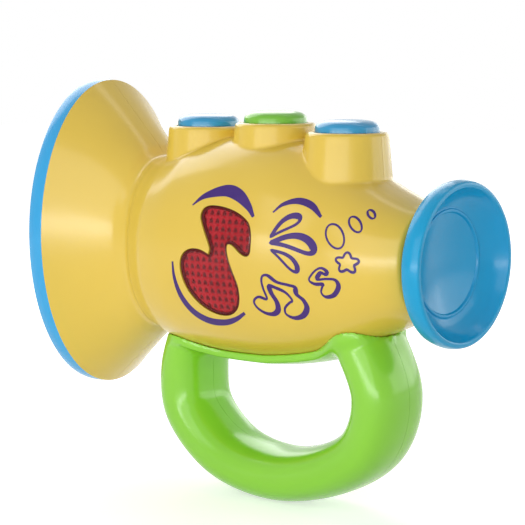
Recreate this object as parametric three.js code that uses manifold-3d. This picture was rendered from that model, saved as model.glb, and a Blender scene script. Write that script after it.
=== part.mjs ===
// A toddler's toy trumpet: an oval bell, a barrel with three keys on raised bosses,
// a cup mouthpiece and a ring handle, with its sound and light works inside.
// Units are millimetres. While it is drawn, X runs along the horn towards the mouthpiece from the
// middle key, Y runs away from the lens side with zero on the mould seam, and Z is up from the horn's axis.
import * as THREE from "three";
import { mergeVertices } from "three/addons/utils/BufferGeometryUtils.js";
import Module from "manifold-3d";

const wasm = await Module();
wasm.setup();

// General clearances and walls
const wall = 2.4;
const gap = 0.3; // between fixed pieces that seat on each other
const flatGap = 0.1; // between flat faces that rest on each other
const seam = 0.3; // the parting line between the two halves
const overrun = 1; // how far a cut runs past what it cuts

// Horn: bell and barrel
const bellHalfHeight = 71.2;
const bellHalfWidth = 45.1;
const bellDepth = 35.1;
const flarePower = 1.9;
const barrelLength = 146.5;
const middleKeyShare = 0.44; // how far along the barrel the middle key is
const neckCrown = 36.8;
const neckBelly = 39;
const neckSide = 27.7;
const crownHeight = 48.2;
const bellyDepth = 47.5;
const barrelHalfWidth = 37.2;
const roundness = 2.2; // power of the oval section: 2 is an ellipse, more is squarer
const bellStepShares = [0.9, 0.75, 0.55, 0.35, 0.15];
// Along the barrel from the neck, then crown, belly and side as shares of their largest sizes
const barrelShares = [
  [0.051, 0.772, 0.874, 0.86],
  [0.126, 0.83, 0.943, 0.968],
  [0.222, 0.929, 0.985, 1],
  [0.338, 0.988, 1, 0.995],
  [0.44, 1, 0.996, 0.962],
  [0.543, 0.979, 0.964, 0.919],
  [0.645, 0.892, 0.905, 0.86],
  [0.727, 0.78, 0.832, 0.82],
  [0.795, 0.714, 0.754, 0.801],
  [0.863, 0.672, 0.669, 0.785],
  [0.918, 0.618, 0.594, 0.758],
  [0.966, 0.531, 0.522, 0.688],
  [1, 0.452, 0.459, 0.591],
];
const neckX = -barrelLength * middleKeyShare;
const rimX = neckX - bellDepth;
const endX = neckX + barrelLength;
const reach = barrelLength + bellHalfHeight; // past every side of the toy, for half spaces

// Keys and their bosses
const keyPitchShare = 0.265; // of the barrel's length
const keyPitch = barrelLength * keyPitchShare;
const keyRadius = 13.5;
const keyClearance = 0.5;
const keyRise = 5.2; // how far a key stands above its boss
const keyTravel = 2.2;
const keyWall = 2;
const keyFlange = 1.1;
const keyFlangeThickness = 1.5;
const plungerRadius = 4;
// A key's crown as shares of its radius outward and of its rise downward, and the hollow under it
const keyCrownShares = [[0, 0], [0.5, 0.04], [0.76, 0.14], [0.91, 0.32], [0.985, 0.56], [1, 0.8]];
const keySkirtShare = 0.56;
const keyRoofShare = 0.3;
const bossRadius = 17.3;
const bossDraft = 0.09; // widening of a boss per millimetre down
const bossHeight = 24;
const bossEdge = 1.5;
const bossRoof = 2.2;
const bossStand = 5.3; // the middle boss's top above the horn's crown
const bellSideDrop = 2.3; // each outer boss's top below the middle one
const mouthSideDrop = 2.9;
const bossTop = crownHeight + bossStand;
const keys = [
  { name: "bell_side", x: -keyPitch, top: bossTop - bellSideDrop, colour: 0x3aa0d4 },
  { name: "middle", x: 0, top: bossTop, colour: 0x78c433 },
  { name: "mouth_side", x: keyPitch, top: bossTop - mouthSideDrop, colour: 0x3aa0d4 },
];

// Key board and the rubber domes on it
const keyBoardTop = 27.6;
const keyBoardMargin = 9.2; // from the outer keys' centres to the ends of their board
const keyBoardLength = 2 * (keyPitch + keyBoardMargin);
const keyBoardWidth = 27;
const boardThickness = 1.6;
const domeBaseRadius = 5.5;
const domeTopRadius = 3.4;
const domeFoot = 1;
const domeSolid = 3.8; // what is left of a dome's height when its key is down
const domeHeight = domeSolid + keyTravel;
const shelfReach = 12; // half the space between the card guides
const shelfLip = 3;
const ribThickness = 2;

// Ring on the bell's rim
const rimDepth = 8.4;
const rimSwell = 0.5;
const rimRound = 1.3;
const rimFace = 4.3;
const rimTongue = 4.6;
const rimTongueWall = 1.6;

// Throat: bulkhead, grille and speaker
const throatThickness = 2;
const speakerHoleRadius = 19.5;
const grilleRadius = 22;
const grilleThickness = 2;
const grilleSpigot = 1.2;
const grilleHoleRadius = 1.9;
const grilleRings = 2;
const grilleRingPitch = 7;
const speakerRadius = 22;
const speakerFlange = 1.4;
const speakerFlangeInner = 18.4;
const basketDepth = 10.3;
const basketEndRadius = 11;
const basketWall = 1.3;
const coneWall = 0.6;
const coneDepth = 5;
const coneClearance = 0.7;
const dustCapRadius = 6;
const dustCapRise = 1.6;
const dustCapShare = 0.8; // of its rise, halfway out from its centre
const magnetRadius = 11;
const magnetLength = 7;
const magnetPlate = 2;
const magnetWaist = 1.5;
const clampHoleRadius = 20.3;

// Mouthpiece cup
const lipRadius = 33.4;
const lipInnerRadius = 31.3;
const lipDepth = 7.5;
const cupDepth = 12.8; // lip to floor
const cupLength = 16.2; // lip to the barrel's end
const wellRadius = 21.1;
const wellDepth = 3.7;
const cupNeckRadius = 22.4;
const cupFloor = 2.2;
const spigotRadius = 18;
const spigotLength = 10;
const spigotWall = 2.4;
const spigotFlangeRadius = 20.2;
const spigotFlangeThickness = 1.8;
// The cup's profile as [outward, along] shares: well to lip, round the lip, and back to the neck
const cupDishShares = [[0.05, 0], [0.4, 0.3], [0.75, 0.65]];
const lipShares = [[0, 1], [0.25, 0.15], [0.6, 0], [0.9, 0.5], [1, 1]];
const cupBackShares = [[1, 1], [0.85, 0.75], [0.3, 0.35], [0, 0.12], [-0.1, 0]];

// Ring handle
const gripHalfThickness = 11.4;
const gripHalfDepth = 17.6;
const gripRoundness = 2.4;
const gripDrop = 98.5; // horn axis to the lowest point of the ring's centre line
const gripEndMargin = 18.75; // the centre line's widest place, in from the ends of the barrel
const gripShift = 2.95; // the ring's middle, towards the bell from the barrel's
const gripHalfSpan = barrelLength / 2 - gripEndMargin;
const gripX = neckX + barrelLength / 2 - gripShift;
const saddleThickness = 3;
const saddleWaist = 12.5; // half the saddle's width between the legs
const saddleSkirt = 1.6; // how far the saddle stands out at a leg's sides
const saddleFlare = 22; // from a leg's centre to where the saddle is narrow again
// Centre line of the ring, as shares of the half span and the drop
const gripShares = [
  [-0.88, 0.24],
  [-0.956, 0.381],
  [-1, 0.58],
  [-0.919, 0.782],
  [-0.547, 0.951],
  [-0.011, 1],
  [0.519, 0.933],
  [0.89, 0.794],
  [1, 0.572],
  [0.806, 0.331],
  [0.68, 0.2],
];
const tenonShares = [-0.95, 0.83]; // the middles of the legs where they meet the belly
const tenonHalfWidth = 4.5;
const tenonHalfDepth = 7;
const tenonHead = 3;
const tenonHeadThickness = 2.5;
const tenonRise = 0.9; // extra height for the belly's curve under a tenon's head

// Screws and their posts
const screwHeadRadius = 2.8;
const screwHeadHeight = 2;
const screwShankRadius = 1.4;
const screwLength = 12;
const screwTip = 1.5;
const screwSeat = 6; // from the seam to the underside of a screw head
const postRadius = 4.6;
const postPilotDepth = 8;
const throatPostGap = 1.3; // from the key board's end to the posts behind the throat
const endPostInset = 16; // from the end of the barrel, clear of the cup's spigot
const bellyPostShare = 0.481; // the lowest post, along the barrel
// Heights of the shell screws, as shares of the crown height
const throatPostShares = [0.54, -0.58];
const bellyPostDropShare = -0.79;
const endPostShares = [0.353, -0.353];
// Handle screws: along the ring's centre line
const gripScrewShares = [0.24, 0.52, 0.79];

// Lens in the shape of a note, with the light box behind it
const noteWidth = 37;
const noteHeight = 46;
const noteX = -21.6;
const noteZ = -26.3;
const windowGap = 0.3;
const lensRecess = 0.2;
const lensFlange = 1.6;
const lensFlangeLap = 3;
const lensFlangeCorner = 5;
const lightBoxWall = 1.6;
const lightBoxInset = 0.4;

// Sound board with its lamps and chip
const soundBoardY = 17.8;
const soundBoardLength = 61;
const soundBoardHeight = 52;
const soundBoardX = 4.5;
const soundBoardZ = -4;
const boardPostRadius = 3.2;
const boardPostX = 29.5;
const boardPostZ = 15;
const lampRadius = 2.5;
const lampHeight = 6.5;
// Lamps behind the note, as shares of its width and height
const lampShares = [
  ["lamp_upper", 0.724, 0.785],
  ["lamp_lower", 0.368, 0.298],
];
const chipSize = 12;
const chipHeight = 2;

// Battery box: two AA cells side by side
const cellRadius = 7.25;
const cellLength = 50.5;
const cellNub = 1.3;
const cellNubRadius = 2.75;
const cellY = 19.5;
const cellPitch = 15.6;
const contactThickness = 0.6;
const contactSpring = 2.2;
const contactSpringRadius = 3.4;
const contactTipRadius = 2;
const contactHalfSize = 5.8;
const trayWall = 1.5;
const trayRim = 5.5; // above the cells' centres
const doorCorner = 3;
const doorMargin = 0.3;
const doorScrewReach = 5.6; // from the rib beside the cells to the door's screw
const gussetThickness = 3;
const doorEnd = 5.3; // from the door's screw to the door's end
const doorBossRadius = 4.2;
const doorBossHeight = 1.5;
const doorScrewLength = 10;
const doorHeadDrop = 1.7;
const doorClearance = 0.4;
const doorPostDepth = 15;

// Power slide switch
const switchFromDoor = 12.3;
const switchTravel = 4;
const switchBodyLength = 18;
const switchBodyWidth = 9;
const switchBodyDepth = 6.6;
const knobHalfLength = 2.2;
const knobHalfWidth = 2;
const knobRise = 1.3;
const knobPlateHalfLength = 6.5;
const knobPlateHalfWidth = 4;
const knobPlateThickness = 1.2;
const lugThickness = 1.7;

// Fineness of the round shapes
const hornSides = 22;
const ringSpacing = 13; // wider stretches of the horn get a ring halfway
const gripSides = 12;
const gripSteps = 20;
const saddleSteps = 5;
const turnSides = 18;
const cupSides = 26;
const smallSides = 8;
const curveSteps = 4;
const edgeSteps = 3;

// Solid work
function solid(geometry) {
  const bare = new THREE.BufferGeometry();
  bare.setAttribute("position", geometry.getAttribute("position"));
  bare.setIndex(geometry.getIndex());
  const merged = mergeVertices(bare, 1e-4);
  const triVerts = new Uint32Array(merged.getIndex().array);
  const vertProperties = merged.getAttribute("position").array;
  const made = new wasm.Manifold(new wasm.Mesh({ numProp: 3, vertProperties, triVerts }));
  if (made.volume() >= 0) return made;
  triVerts.reverse();
  return new wasm.Manifold(new wasm.Mesh({ numProp: 3, vertProperties, triVerts }));
}

function geometryOf(body) {
  const mesh = body.getMesh();
  const points = new Float32Array(mesh.numVert * 3);
  for (let i = 0; i < mesh.numVert; i++) {
    points.set(mesh.vertProperties.subarray(i * mesh.numProp, i * mesh.numProp + 3), i * 3);
  }
  const made = new THREE.BufferGeometry();
  made.setAttribute("position", new THREE.BufferAttribute(points, 3));
  made.setIndex(new THREE.BufferAttribute(mesh.triVerts, 1));
  const flat = made.toNonIndexed();
  flat.computeVertexNormals();
  return flat;
}

function block(x0, x1, y0, y1, z0, z1) {
  const made = new THREE.BoxGeometry(x1 - x0, y1 - y0, z1 - z0);
  made.translate((x0 + x1) / 2, (y0 + y1) / 2, (z0 + z1) / 2);
  return solid(made);
}

// A profile of [radius, place] pairs turned about X, Y or Z
function turned(profile, axis, sides = turnSides) {
  const made = new THREE.LatheGeometry(profile.map(([r, at]) => new THREE.Vector2(r, at)), sides);
  if (axis === "x") made.rotateZ(-Math.PI / 2);
  if (axis === "z") made.rotateX(Math.PI / 2);
  return solid(made);
}

function rod(radius, from, to, axis, sides = turnSides) {
  return turned([[0, from], [radius, from], [radius, to], [0, to]], axis, sides);
}

// An outline in X and Z, pushed through from y0 to y1
function prismY(outline, y0, y1) {
  const made = new THREE.ExtrudeGeometry(outline, { depth: y1 - y0, bevelEnabled: false });
  made.rotateX(Math.PI / 2);
  made.translate(0, y1, 0);
  return solid(made);
}

// An outline in X and Y, pushed up from z0 to z1
function prismZ(outline, z0, z1) {
  const made = new THREE.ExtrudeGeometry(outline, { depth: z1 - z0, bevelEnabled: false });
  made.translate(0, 0, z0);
  return solid(made);
}

// A closed skin over a row of rings that have the same number of points
function loft(rings) {
  const count = rings[0].length;
  const places = rings.flat().flatMap((p) => p.toArray());
  const faces = [];
  for (let r = 0; r + 1 < rings.length; r++) {
    for (let i = 0; i < count; i++) {
      const a = r * count + i;
      const b = r * count + ((i + 1) % count);
      faces.push(a, b, a + count, b, b + count, a + count);
    }
  }
  const last = (rings.length - 1) * count;
  for (let i = 1; i + 1 < count; i++) {
    faces.push(0, i + 1, i, last, last + i, last + i + 1);
  }
  const made = new THREE.BufferGeometry();
  made.setAttribute("position", new THREE.BufferAttribute(new Float32Array(places), 3));
  made.setIndex(faces);
  return solid(made);
}

function roundedRectangle(x0, x1, z0, z1, corner) {
  const outline = new THREE.Shape();
  outline.absarc(x1 - corner, z1 - corner, corner, 0, Math.PI / 2);
  outline.absarc(x0 + corner, z1 - corner, corner, Math.PI / 2, Math.PI);
  outline.absarc(x0 + corner, z0 + corner, corner, Math.PI, 1.5 * Math.PI);
  outline.absarc(x1 - corner, z0 + corner, corner, 1.5 * Math.PI, 2 * Math.PI);
  return new THREE.Shape(outline.getPoints(curveSteps));
}

function moved(body, x, y, z) {
  return body.translate([x, y, z]);
}

// Horn form: crown, belly and side along X, through the stations by a monotone cubic
const stations = [[rimX, bellHalfHeight, bellHalfHeight, bellHalfWidth]];
for (const share of bellStepShares) {
  stations.push([
    neckX - bellDepth * share,
    neckCrown + (bellHalfHeight - neckCrown) * share,
    neckBelly + (bellHalfHeight - neckBelly) * share,
    neckSide + (bellHalfWidth - neckSide) * share ** flarePower,
  ]);
}
stations.push([neckX, neckCrown, neckBelly, neckSide]);
for (const [along, crown, belly, side] of barrelShares) {
  stations.push([
    neckX + barrelLength * along,
    crownHeight * crown,
    bellyDepth * belly,
    barrelHalfWidth * side,
  ]);
}

function slopes(column) {
  const rise = stations.slice(1).map((s, i) => (s[column] - stations[i][column]) / (s[0] - stations[i][0]));
  const inner = rise.slice(1).map((m, i) => (m * rise[i] > 0 ? (2 * m * rise[i]) / (m + rise[i]) : 0));
  return [rise[0], ...inner, rise[rise.length - 1]];
}
const stationSlopes = [null, slopes(1), slopes(2), slopes(3)];

function hornSize(x, column) {
  if (x <= stations[0][0]) return stations[0][column] + stationSlopes[column][0] * (x - stations[0][0]);
  const i = Math.min(stations.findIndex((s) => s[0] > x), stations.length) - 1;
  const k = i < 0 ? stations.length - 2 : i;
  const [a, b] = [stations[k], stations[k + 1]];
  const width = b[0] - a[0];
  const t = (x - a[0]) / width;
  const [m0, m1] = [stationSlopes[column][k] * width, stationSlopes[column][k + 1] * width];
  const [t2, t3] = [t * t, t * t * t];
  const between = (2 * t3 - 3 * t2 + 1) * a[column] + (3 * t2 - 2 * t3) * b[column];
  return between + (t3 - 2 * t2 + t) * m0 + (t3 - t2) * m1;
}

const crownAt = (x) => hornSize(x, 1);
const bellyAt = (x) => hornSize(x, 2);
const sideAt = (x) => hornSize(x, 3);

function ovalRing(x, crown, belly, side, power) {
  const ring = [];
  for (let i = 0; i < hornSides; i++) {
    const turn = (2 * Math.PI * (i + 0.5)) / hornSides;
    const [c, s] = [Math.cos(turn), Math.sin(turn)];
    const across = side * Math.sign(s) * Math.abs(s) ** (2 / power);
    const up = ((crown + belly) / 2) * Math.sign(c) * Math.abs(c) ** (2 / power);
    ring.push(new THREE.Vector3(x, across, (crown - belly) / 2 + up));
  }
  return ring;
}

// The bell is an ellipse, and the barrel a little squarer
function powerAt(x) {
  const share = Math.min(Math.max((neckX - x) / bellDepth, 0), 1);
  return roundness + (2 - roundness) * share;
}

function hornRing(x, inset) {
  return ovalRing(x, crownAt(x) - inset, bellyAt(x) - inset, sideAt(x) - inset, powerAt(x));
}

// The horn drawn in by an inset, or swollen by a negative one, between two places
function horn(inset, from = rimX, to = endX) {
  const places = [from];
  stations.forEach((s, i) => {
    const before = i ? stations[i - 1][0] : s[0];
    if (s[0] - before > ringSpacing) places.push((s[0] + before) / 2);
    places.push(s[0]);
  });
  const inside = places.filter((x, i) => i === 0 || (x > from + gap && x < to - gap));
  inside.push(to);
  const unlike = inside.filter((x, i) => i === 0 || x > inside[i - 1]);
  return loft(unlike.map((x) => hornRing(x, inset)));
}

const frontHalf = block(-reach, reach, -reach, -seam / 2, -reach, reach);
const rearHalf = block(-reach, reach, seam / 2, reach, -reach, reach);

// Bosses under the keys
function boss(key) {
  const foot = key.top - bossHeight;
  const profile = [[0, foot], [bossRadius + bossDraft * bossHeight, foot]];
  for (let step = 0; step <= edgeSteps; step++) {
    const turn = (step / edgeSteps) * (Math.PI / 2);
    profile.push([
      bossRadius - bossEdge * (1 - Math.cos(turn)),
      key.top - bossEdge * (1 - Math.sin(turn)),
    ]);
  }
  profile.push([0, key.top]);
  return moved(turned(profile, "z"), key.x, 0, 0);
}

function bossHollow(key) {
  const room = rod(bossRadius - wall, key.top - bossHeight, key.top - bossRoof, "z");
  const bore = rod(keyRadius + keyClearance, key.top - bossHeight, key.top + overrun, "z");
  return moved(room.add(bore), key.x, 0, 0);
}

let hull = horn(0);
for (const key of keys) {
  hull = hull.add(boss(key));
}

// Places that several pieces share
const throatX = neckX - throatThickness / 2;
const throatBack = throatX + throatThickness;
const speakerFace = throatBack + gap;
const speakerBack = speakerFace + speakerFlange;
const clampFront = speakerBack + gap;
const trayHalfInside = cellLength / 2 + contactSpring + contactThickness + 3 * gap;
const trayHalfLength = trayHalfInside + trayWall;
const trayHalfHeightInside = cellPitch / 2 + cellRadius + gap;
const trayHalfHeight = trayHalfHeightInside + trayWall;
const trayBack = cellY - cellRadius - gap - trayWall;
const ribX = trayHalfLength + gap + ribThickness / 2;
const keyBoardBottom = keyBoardTop - boardThickness;
const doorScrewX = ribX + doorScrewReach;
const doorX0 = -trayHalfInside - doorMargin;
const doorX1 = doorScrewX + doorEnd;
const switchX = doorX1 + switchFromDoor;
const doorHalfHeight = trayHalfHeightInside + doorMargin;
const doorFace = sideAt(doorScrewX);
const doorInside = doorFace - wall;
const doorPostTop = doorInside - doorBossHeight - gap;
const lensInside = wall + gap + lensFlange;
const noteX1 = noteX + noteWidth;
const noteZ1 = noteZ + noteHeight;
const soundBoardFront = -soundBoardY;
const soundBoardBack = soundBoardFront + boardThickness;
const switchX0 = switchX - switchTravel / 2;
const knobPlateTop = sideAt(switchX + knobPlateHalfLength) - wall - 2 * gap;
const switchBodyTop = knobPlateTop - knobPlateThickness - gap;
const spigotFlangeBack = endX - wall - gap;
const tenonPlaces = tenonShares.map((share) => gripX + gripHalfSpan * share);
const saddleX0 = tenonPlaces[0] - gripHalfThickness;
const saddleX1 = tenonPlaces[1] + gripHalfThickness;
const tenonHalfHead = tenonHalfWidth + tenonHead;
const tenonSeat = (x) =>
  wall + gap + tenonRise - Math.min(bellyAt(x - tenonHalfHead), bellyAt(x + tenonHalfHead));
const throatPostX = -keyBoardLength / 2 - throatPostGap - postRadius;
const shellScrews = [
  ...throatPostShares.map((up) => [throatPostX, crownHeight * up]),
  [neckX + barrelLength * bellyPostShare, crownHeight * bellyPostDropShare],
  ...endPostShares.map((up) => [endX - endPostInset, crownHeight * up]),
];

// The note that the lens is cut to, as a smooth outline of the head, stem and flag
function noteOutline(grow) {
  const at = (right, up) => [noteX + noteWidth * right, noteZ + noteHeight * up];
  const note = new THREE.Shape();
  note.moveTo(...at(0.47, 0.615));
  note.bezierCurveTo(...at(0.44, 0.7), ...at(0.35, 0.8), ...at(0.305, 0.88));
  note.bezierCurveTo(...at(0.27, 0.97), ...at(0.35, 1), ...at(0.45, 1));
  note.bezierCurveTo(...at(0.65, 1), ...at(0.85, 0.95), ...at(0.95, 0.87));
  note.bezierCurveTo(...at(1.01, 0.8), ...at(1, 0.7), ...at(0.99, 0.62));
  note.bezierCurveTo(...at(0.97, 0.55), ...at(0.89, 0.57), ...at(0.82, 0.62));
  note.bezierCurveTo(...at(0.74, 0.69), ...at(0.69, 0.7), ...at(0.7, 0.61));
  note.bezierCurveTo(...at(0.71, 0.5), ...at(0.77, 0.4), ...at(0.8, 0.3));
  note.bezierCurveTo(...at(0.84, 0.13), ...at(0.72, 0), ...at(0.52, 0));
  note.bezierCurveTo(...at(0.3, 0), ...at(0.1, 0.14), ...at(0.03, 0.3));
  note.bezierCurveTo(...at(-0.05, 0.48), ...at(0.02, 0.6), ...at(0.24, 0.6));
  note.bezierCurveTo(...at(0.33, 0.6), ...at(0.41, 0.57), ...at(0.45, 0.555));
  const points = note.getPoints(curveSteps).slice(0, -1);
  const count = points.length;
  const clockwise = THREE.ShapeUtils.area(points) < 0 ? 1 : -1;
  const grown = points.map((p, i) => {
    const along = points[(i + 1) % count].clone().sub(points[(i + count - 1) % count]).normalize();
    return new THREE.Vector2(p.x - clockwise * along.y * grow, p.y + clockwise * along.x * grow);
  });
  return new THREE.Shape(grown);
}

const doorOutline = (grow) =>
  roundedRectangle(doorX0 - grow, doorX1 + grow, -doorHalfHeight - grow, doorHalfHeight + grow, doorCorner);

// Screw posts: a recessed seat in the rear half and a pilot post in the front half
function screwPost(x, z) {
  return moved(rod(postRadius, -reach, reach, "y", smallSides), x, 0, z);
}

function screwHole(x, z, deep) {
  const shank = rod(screwShankRadius + gap, -postPilotDepth, reach, "y", smallSides);
  const head = rod(screwHeadRadius + gap, screwSeat, deep, "y", smallSides);
  return moved(shank.add(head), x, 0, z);
}

function screw(x, y, z, length) {
  const profile = [
    [0, -length],
    [screwShankRadius, screwTip - length],
    [screwShankRadius, 0],
    [screwHeadRadius, 0],
    [screwHeadRadius, screwHeadHeight / 2],
    [screwHeadRadius - screwHeadHeight / 2, screwHeadHeight],
    [0, screwHeadHeight],
  ];
  return moved(turned(profile, "y", smallSides), x, y, z);
}

// Both halves of the horn share their walls, bulkheads and post places
function shells() {
  let walls = hull.subtract(horn(wall, rimX - overrun, endX - wall));
  for (const key of keys) {
    walls = walls.subtract(bossHollow(key));
  }
  const bulkhead = horn(wall / 2, throatX, throatBack)
    .subtract(rod(speakerHoleRadius, throatX - overrun, throatBack + overrun, "x"));
  const clamp = horn(wall / 2, clampFront, clampFront + throatThickness)
    .subtract(rod(clampHoleRadius, clampFront - overrun, clampFront + throatThickness + overrun, "x"));
  walls = walls.add(bulkhead).add(clamp);
  const inMidWall = horn(wall / 2);
  for (const [x, z] of shellScrews) {
    walls = walls.add(screwPost(x, z).intersect(inMidWall));
  }
  walls = walls.subtract(rod(spigotRadius + gap, endX - wall - overrun, endX + overrun, "x", cupSides));
  tenonPlaces.forEach((x) => {
    walls = walls.subtract(
      block(
        x - tenonHalfWidth - gap, x + tenonHalfWidth + gap,
        -tenonHalfDepth - gap, tenonHalfDepth + gap,
        -bellyDepth - overrun, tenonSeat(x),
      ),
    );
  });
  for (const [x, z] of shellScrews) {
    walls = walls.subtract(screwHole(x, z, reach));
  }
  return walls;
}

// Card guides: ribs from the side wall with a slot for the key board's edge
function cardGuides(side, floor) {
  let guides = null;
  for (const x of [-ribX, ribX]) {
    const [y0, y1] = side < 0 ? [-reach, -shelfReach] : [shelfReach, reach];
    const rib = block(x - ribThickness / 2, x + ribThickness / 2, y0, y1, floor, keyBoardTop + shelfLip);
    guides = guides ? guides.add(rib) : rib;
  }
  const half = keyBoardWidth / 2 + gap;
  const slot = block(-keyBoardLength, keyBoardLength, -half, half, keyBoardBottom - gap, keyBoardTop + gap);
  return guides.intersect(horn(wall / 2)).subtract(slot);
}

function frontShell(walls) {
  let front = walls.add(cardGuides(-1, keyBoardBottom - shelfLip));
  const post = rod(boardPostRadius, -reach, soundBoardFront - gap, "y", smallSides);
  for (const z of [-boardPostZ, boardPostZ]) {
    front = front.add(moved(post, boardPostX, 0, z).intersect(horn(wall / 2)));
  }
  front = front.subtract(prismY(noteOutline(windowGap), -reach, soundBoardFront));
  return front.intersect(frontHalf);
}

function rearShell(walls) {
  const lugs = [-1, 1].map((end) => {
    const inner = switchX + end * (switchBodyLength / 2 + gap);
    const outer = inner + end * lugThickness;
    const [x0, x1] = [Math.min(inner, outer), Math.max(inner, outer)];
    const half = switchBodyWidth / 2;
    return block(x0, x1, switchBodyTop - switchBodyDepth, reach, -half, half).intersect(horn(wall / 2));
  });
  const postFoot = doorPostTop - doorPostDepth;
  const half = gussetThickness / 2;
  const doorPost = moved(rod(doorBossRadius, postFoot, doorPostTop, "y", smallSides), doorScrewX, 0, 0)
    .add(block(ribX, doorScrewX, postFoot, doorPostTop - wall, -half, half));
  const pilot = moved(
    rod(screwShankRadius + gap, postFoot + wall, doorPostTop + overrun, "y", smallSides),
    doorScrewX, 0, 0,
  );
  let rear = walls.add(cardGuides(1, -trayHalfHeight)).add(lugs[0]).add(lugs[1]);
  rear = rear.subtract(prismY(doorOutline(doorClearance), cellY, reach).subtract(horn(wall + gap)));
  rear = rear.add(doorPost).subtract(pilot);
  const slotHalf = knobHalfLength + gap;
  rear = rear.subtract(
    block(
      switchX0 - slotHalf, switchX0 + switchTravel + slotHalf,
      knobPlateTop, reach,
      -knobHalfWidth - gap, knobHalfWidth + gap,
    ),
  );
  return rear.intersect(rearHalf);
}

// A round-fronted band that carries the bell's flare on, with a tongue inside the rim
function bellRing() {
  const start = rimX - gap;
  const front = rimX - rimDepth;
  const edge = (x, inset) => {
    const up = bellHalfHeight - inset;
    return ovalRing(x, up, up, bellHalfWidth - inset, 2);
  };
  const outer = loft([
    edge(front, rimRound),
    edge(front + rimRound / 3, rimRound / 3),
    edge(front + rimRound, 0),
    edge((front + start) / 2, -rimSwell),
    edge(start, 0),
  ]);
  const tongueEnd = rimX + rimTongue;
  const tongue = horn(wall + gap, start - overrun, tongueEnd);
  const inside = wall + gap + rimTongueWall;
  const hollow = loft([
    edge(front - overrun, rimRound + rimFace),
    edge(front, rimRound + rimFace),
    edge(front + rimRound, rimRound + rimFace + rimSwell),
    edge(start, inside + rimSwell),
    hornRing(rimX, inside),
    hornRing((rimX + tongueEnd) / 2, inside),
    hornRing(tongueEnd, inside),
    hornRing(tongueEnd + overrun, inside),
  ]);
  return outer.add(tongue).subtract(hollow);
}

function bellGrille() {
  const face = throatX - gap - grilleThickness;
  const spigotR = speakerHoleRadius - gap;
  let grille = turned([
    [0, face],
    [grilleRadius - grilleThickness / 2, face],
    [grilleRadius, face + grilleThickness / 2],
    [grilleRadius, face + grilleThickness],
    [spigotR, face + grilleThickness],
    [spigotR, throatX + grilleSpigot],
    [spigotR - grilleSpigot, throatX + grilleSpigot],
    [spigotR - grilleSpigot, face + grilleThickness],
    [0, face + grilleThickness],
  ], "x");
  const hole = rod(grilleHoleRadius, face - overrun, face + grilleThickness + overrun, "x", 6);
  grille = grille.subtract(hole);
  for (let ring = 1; ring <= grilleRings; ring++) {
    for (let i = 0; i < 6 * ring; i++) {
      const turn = (Math.PI * 2 * i) / (6 * ring);
      const radius = ring * grilleRingPitch;
      grille = grille.subtract(moved(hole, 0, radius * Math.cos(turn), radius * Math.sin(turn)));
    }
  }
  return grille;
}

function speakerFrame() {
  const end = speakerFace + basketDepth;
  return turned([
    [speakerRadius, speakerFace],
    [speakerRadius, speakerBack],
    [speakerHoleRadius - gap, speakerBack],
    [basketEndRadius, end - basketWall],
    [basketEndRadius, end],
    [basketEndRadius - basketWall, end],
    [basketEndRadius - basketWall, end - 2 * basketWall],
    [speakerFlangeInner, speakerFace + coneWall],
    [speakerFlangeInner, speakerFace],
    [speakerRadius, speakerFace],
  ], "x");
}

function speakerCone() {
  const edge = speakerFlangeInner - coneClearance;
  const front = speakerFace + coneWall / 2;
  const deep = front + coneDepth;
  const halfway = deep - dustCapRise * dustCapShare;
  return turned([
    [0, deep - dustCapRise],
    [dustCapRadius / 2, halfway],
    [dustCapRadius, deep - coneWall],
    [edge, front],
    [edge, front + coneWall],
    [dustCapRadius, deep],
    [dustCapRadius / 2, halfway + coneWall],
    [0, deep - dustCapRise + coneWall],
  ], "x");
}

function speakerMagnet() {
  const front = speakerFace + basketDepth + gap;
  const back = front + magnetLength;
  return turned([
    [0, front],
    [magnetRadius, front],
    [magnetRadius, front + magnetPlate],
    [magnetRadius - magnetWaist, front + magnetPlate],
    [magnetRadius - magnetWaist, back - magnetPlate],
    [magnetRadius, back - magnetPlate],
    [magnetRadius, back],
    [0, back],
  ], "x");
}

function mouthpieceCup() {
  const shoulder = endX + gap;
  const lip = endX + cupLength;
  const lipBack = lip - lipDepth;
  const floor = lip - cupDepth;
  const wellEdge = floor + wellDepth;
  const lipWidth = lipRadius - lipInnerRadius;
  const between = (a, b, share) => a + (b - a) * share;
  const dish = cupDishShares.map(([out, along]) => [
    between(wellRadius, lipInnerRadius, out),
    between(wellEdge, lip - lipWidth, along),
  ]);
  const edge = lipShares.map(([out, back]) => [lipInnerRadius + lipWidth * out, lip - lipWidth * back]);
  const outside = cupBackShares.map(([out, along]) => [
    between(cupNeckRadius, lipRadius, out),
    between(shoulder, lipBack, along),
  ]);
  return turned([
    [0, floor],
    [wellRadius - wellDepth / 4, floor],
    [wellRadius, wellEdge - wellDepth / 2],
    ...dish,
    ...edge,
    ...outside,
    [spigotRadius, shoulder],
    [spigotRadius, spigotFlangeBack],
    [spigotFlangeRadius, spigotFlangeBack],
    [spigotFlangeRadius, spigotFlangeBack - spigotFlangeThickness],
    [spigotRadius, spigotFlangeBack - spigotFlangeThickness],
    [spigotRadius, shoulder - spigotLength],
    [spigotRadius - spigotWall, shoulder - spigotLength],
    [spigotRadius - spigotWall, floor - cupFloor],
    [0, floor - cupFloor],
  ], "x", cupSides);
}

// Ring handle: an oval tube along a closed-looking centre line, hollow inside
const gripLine = new THREE.CatmullRomCurve3(
  gripShares.map(([right, down]) => new THREE.Vector3(gripX + gripHalfSpan * right, 0, -gripDrop * down)),
  false,
  "catmullrom",
  0.5,
);

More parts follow.
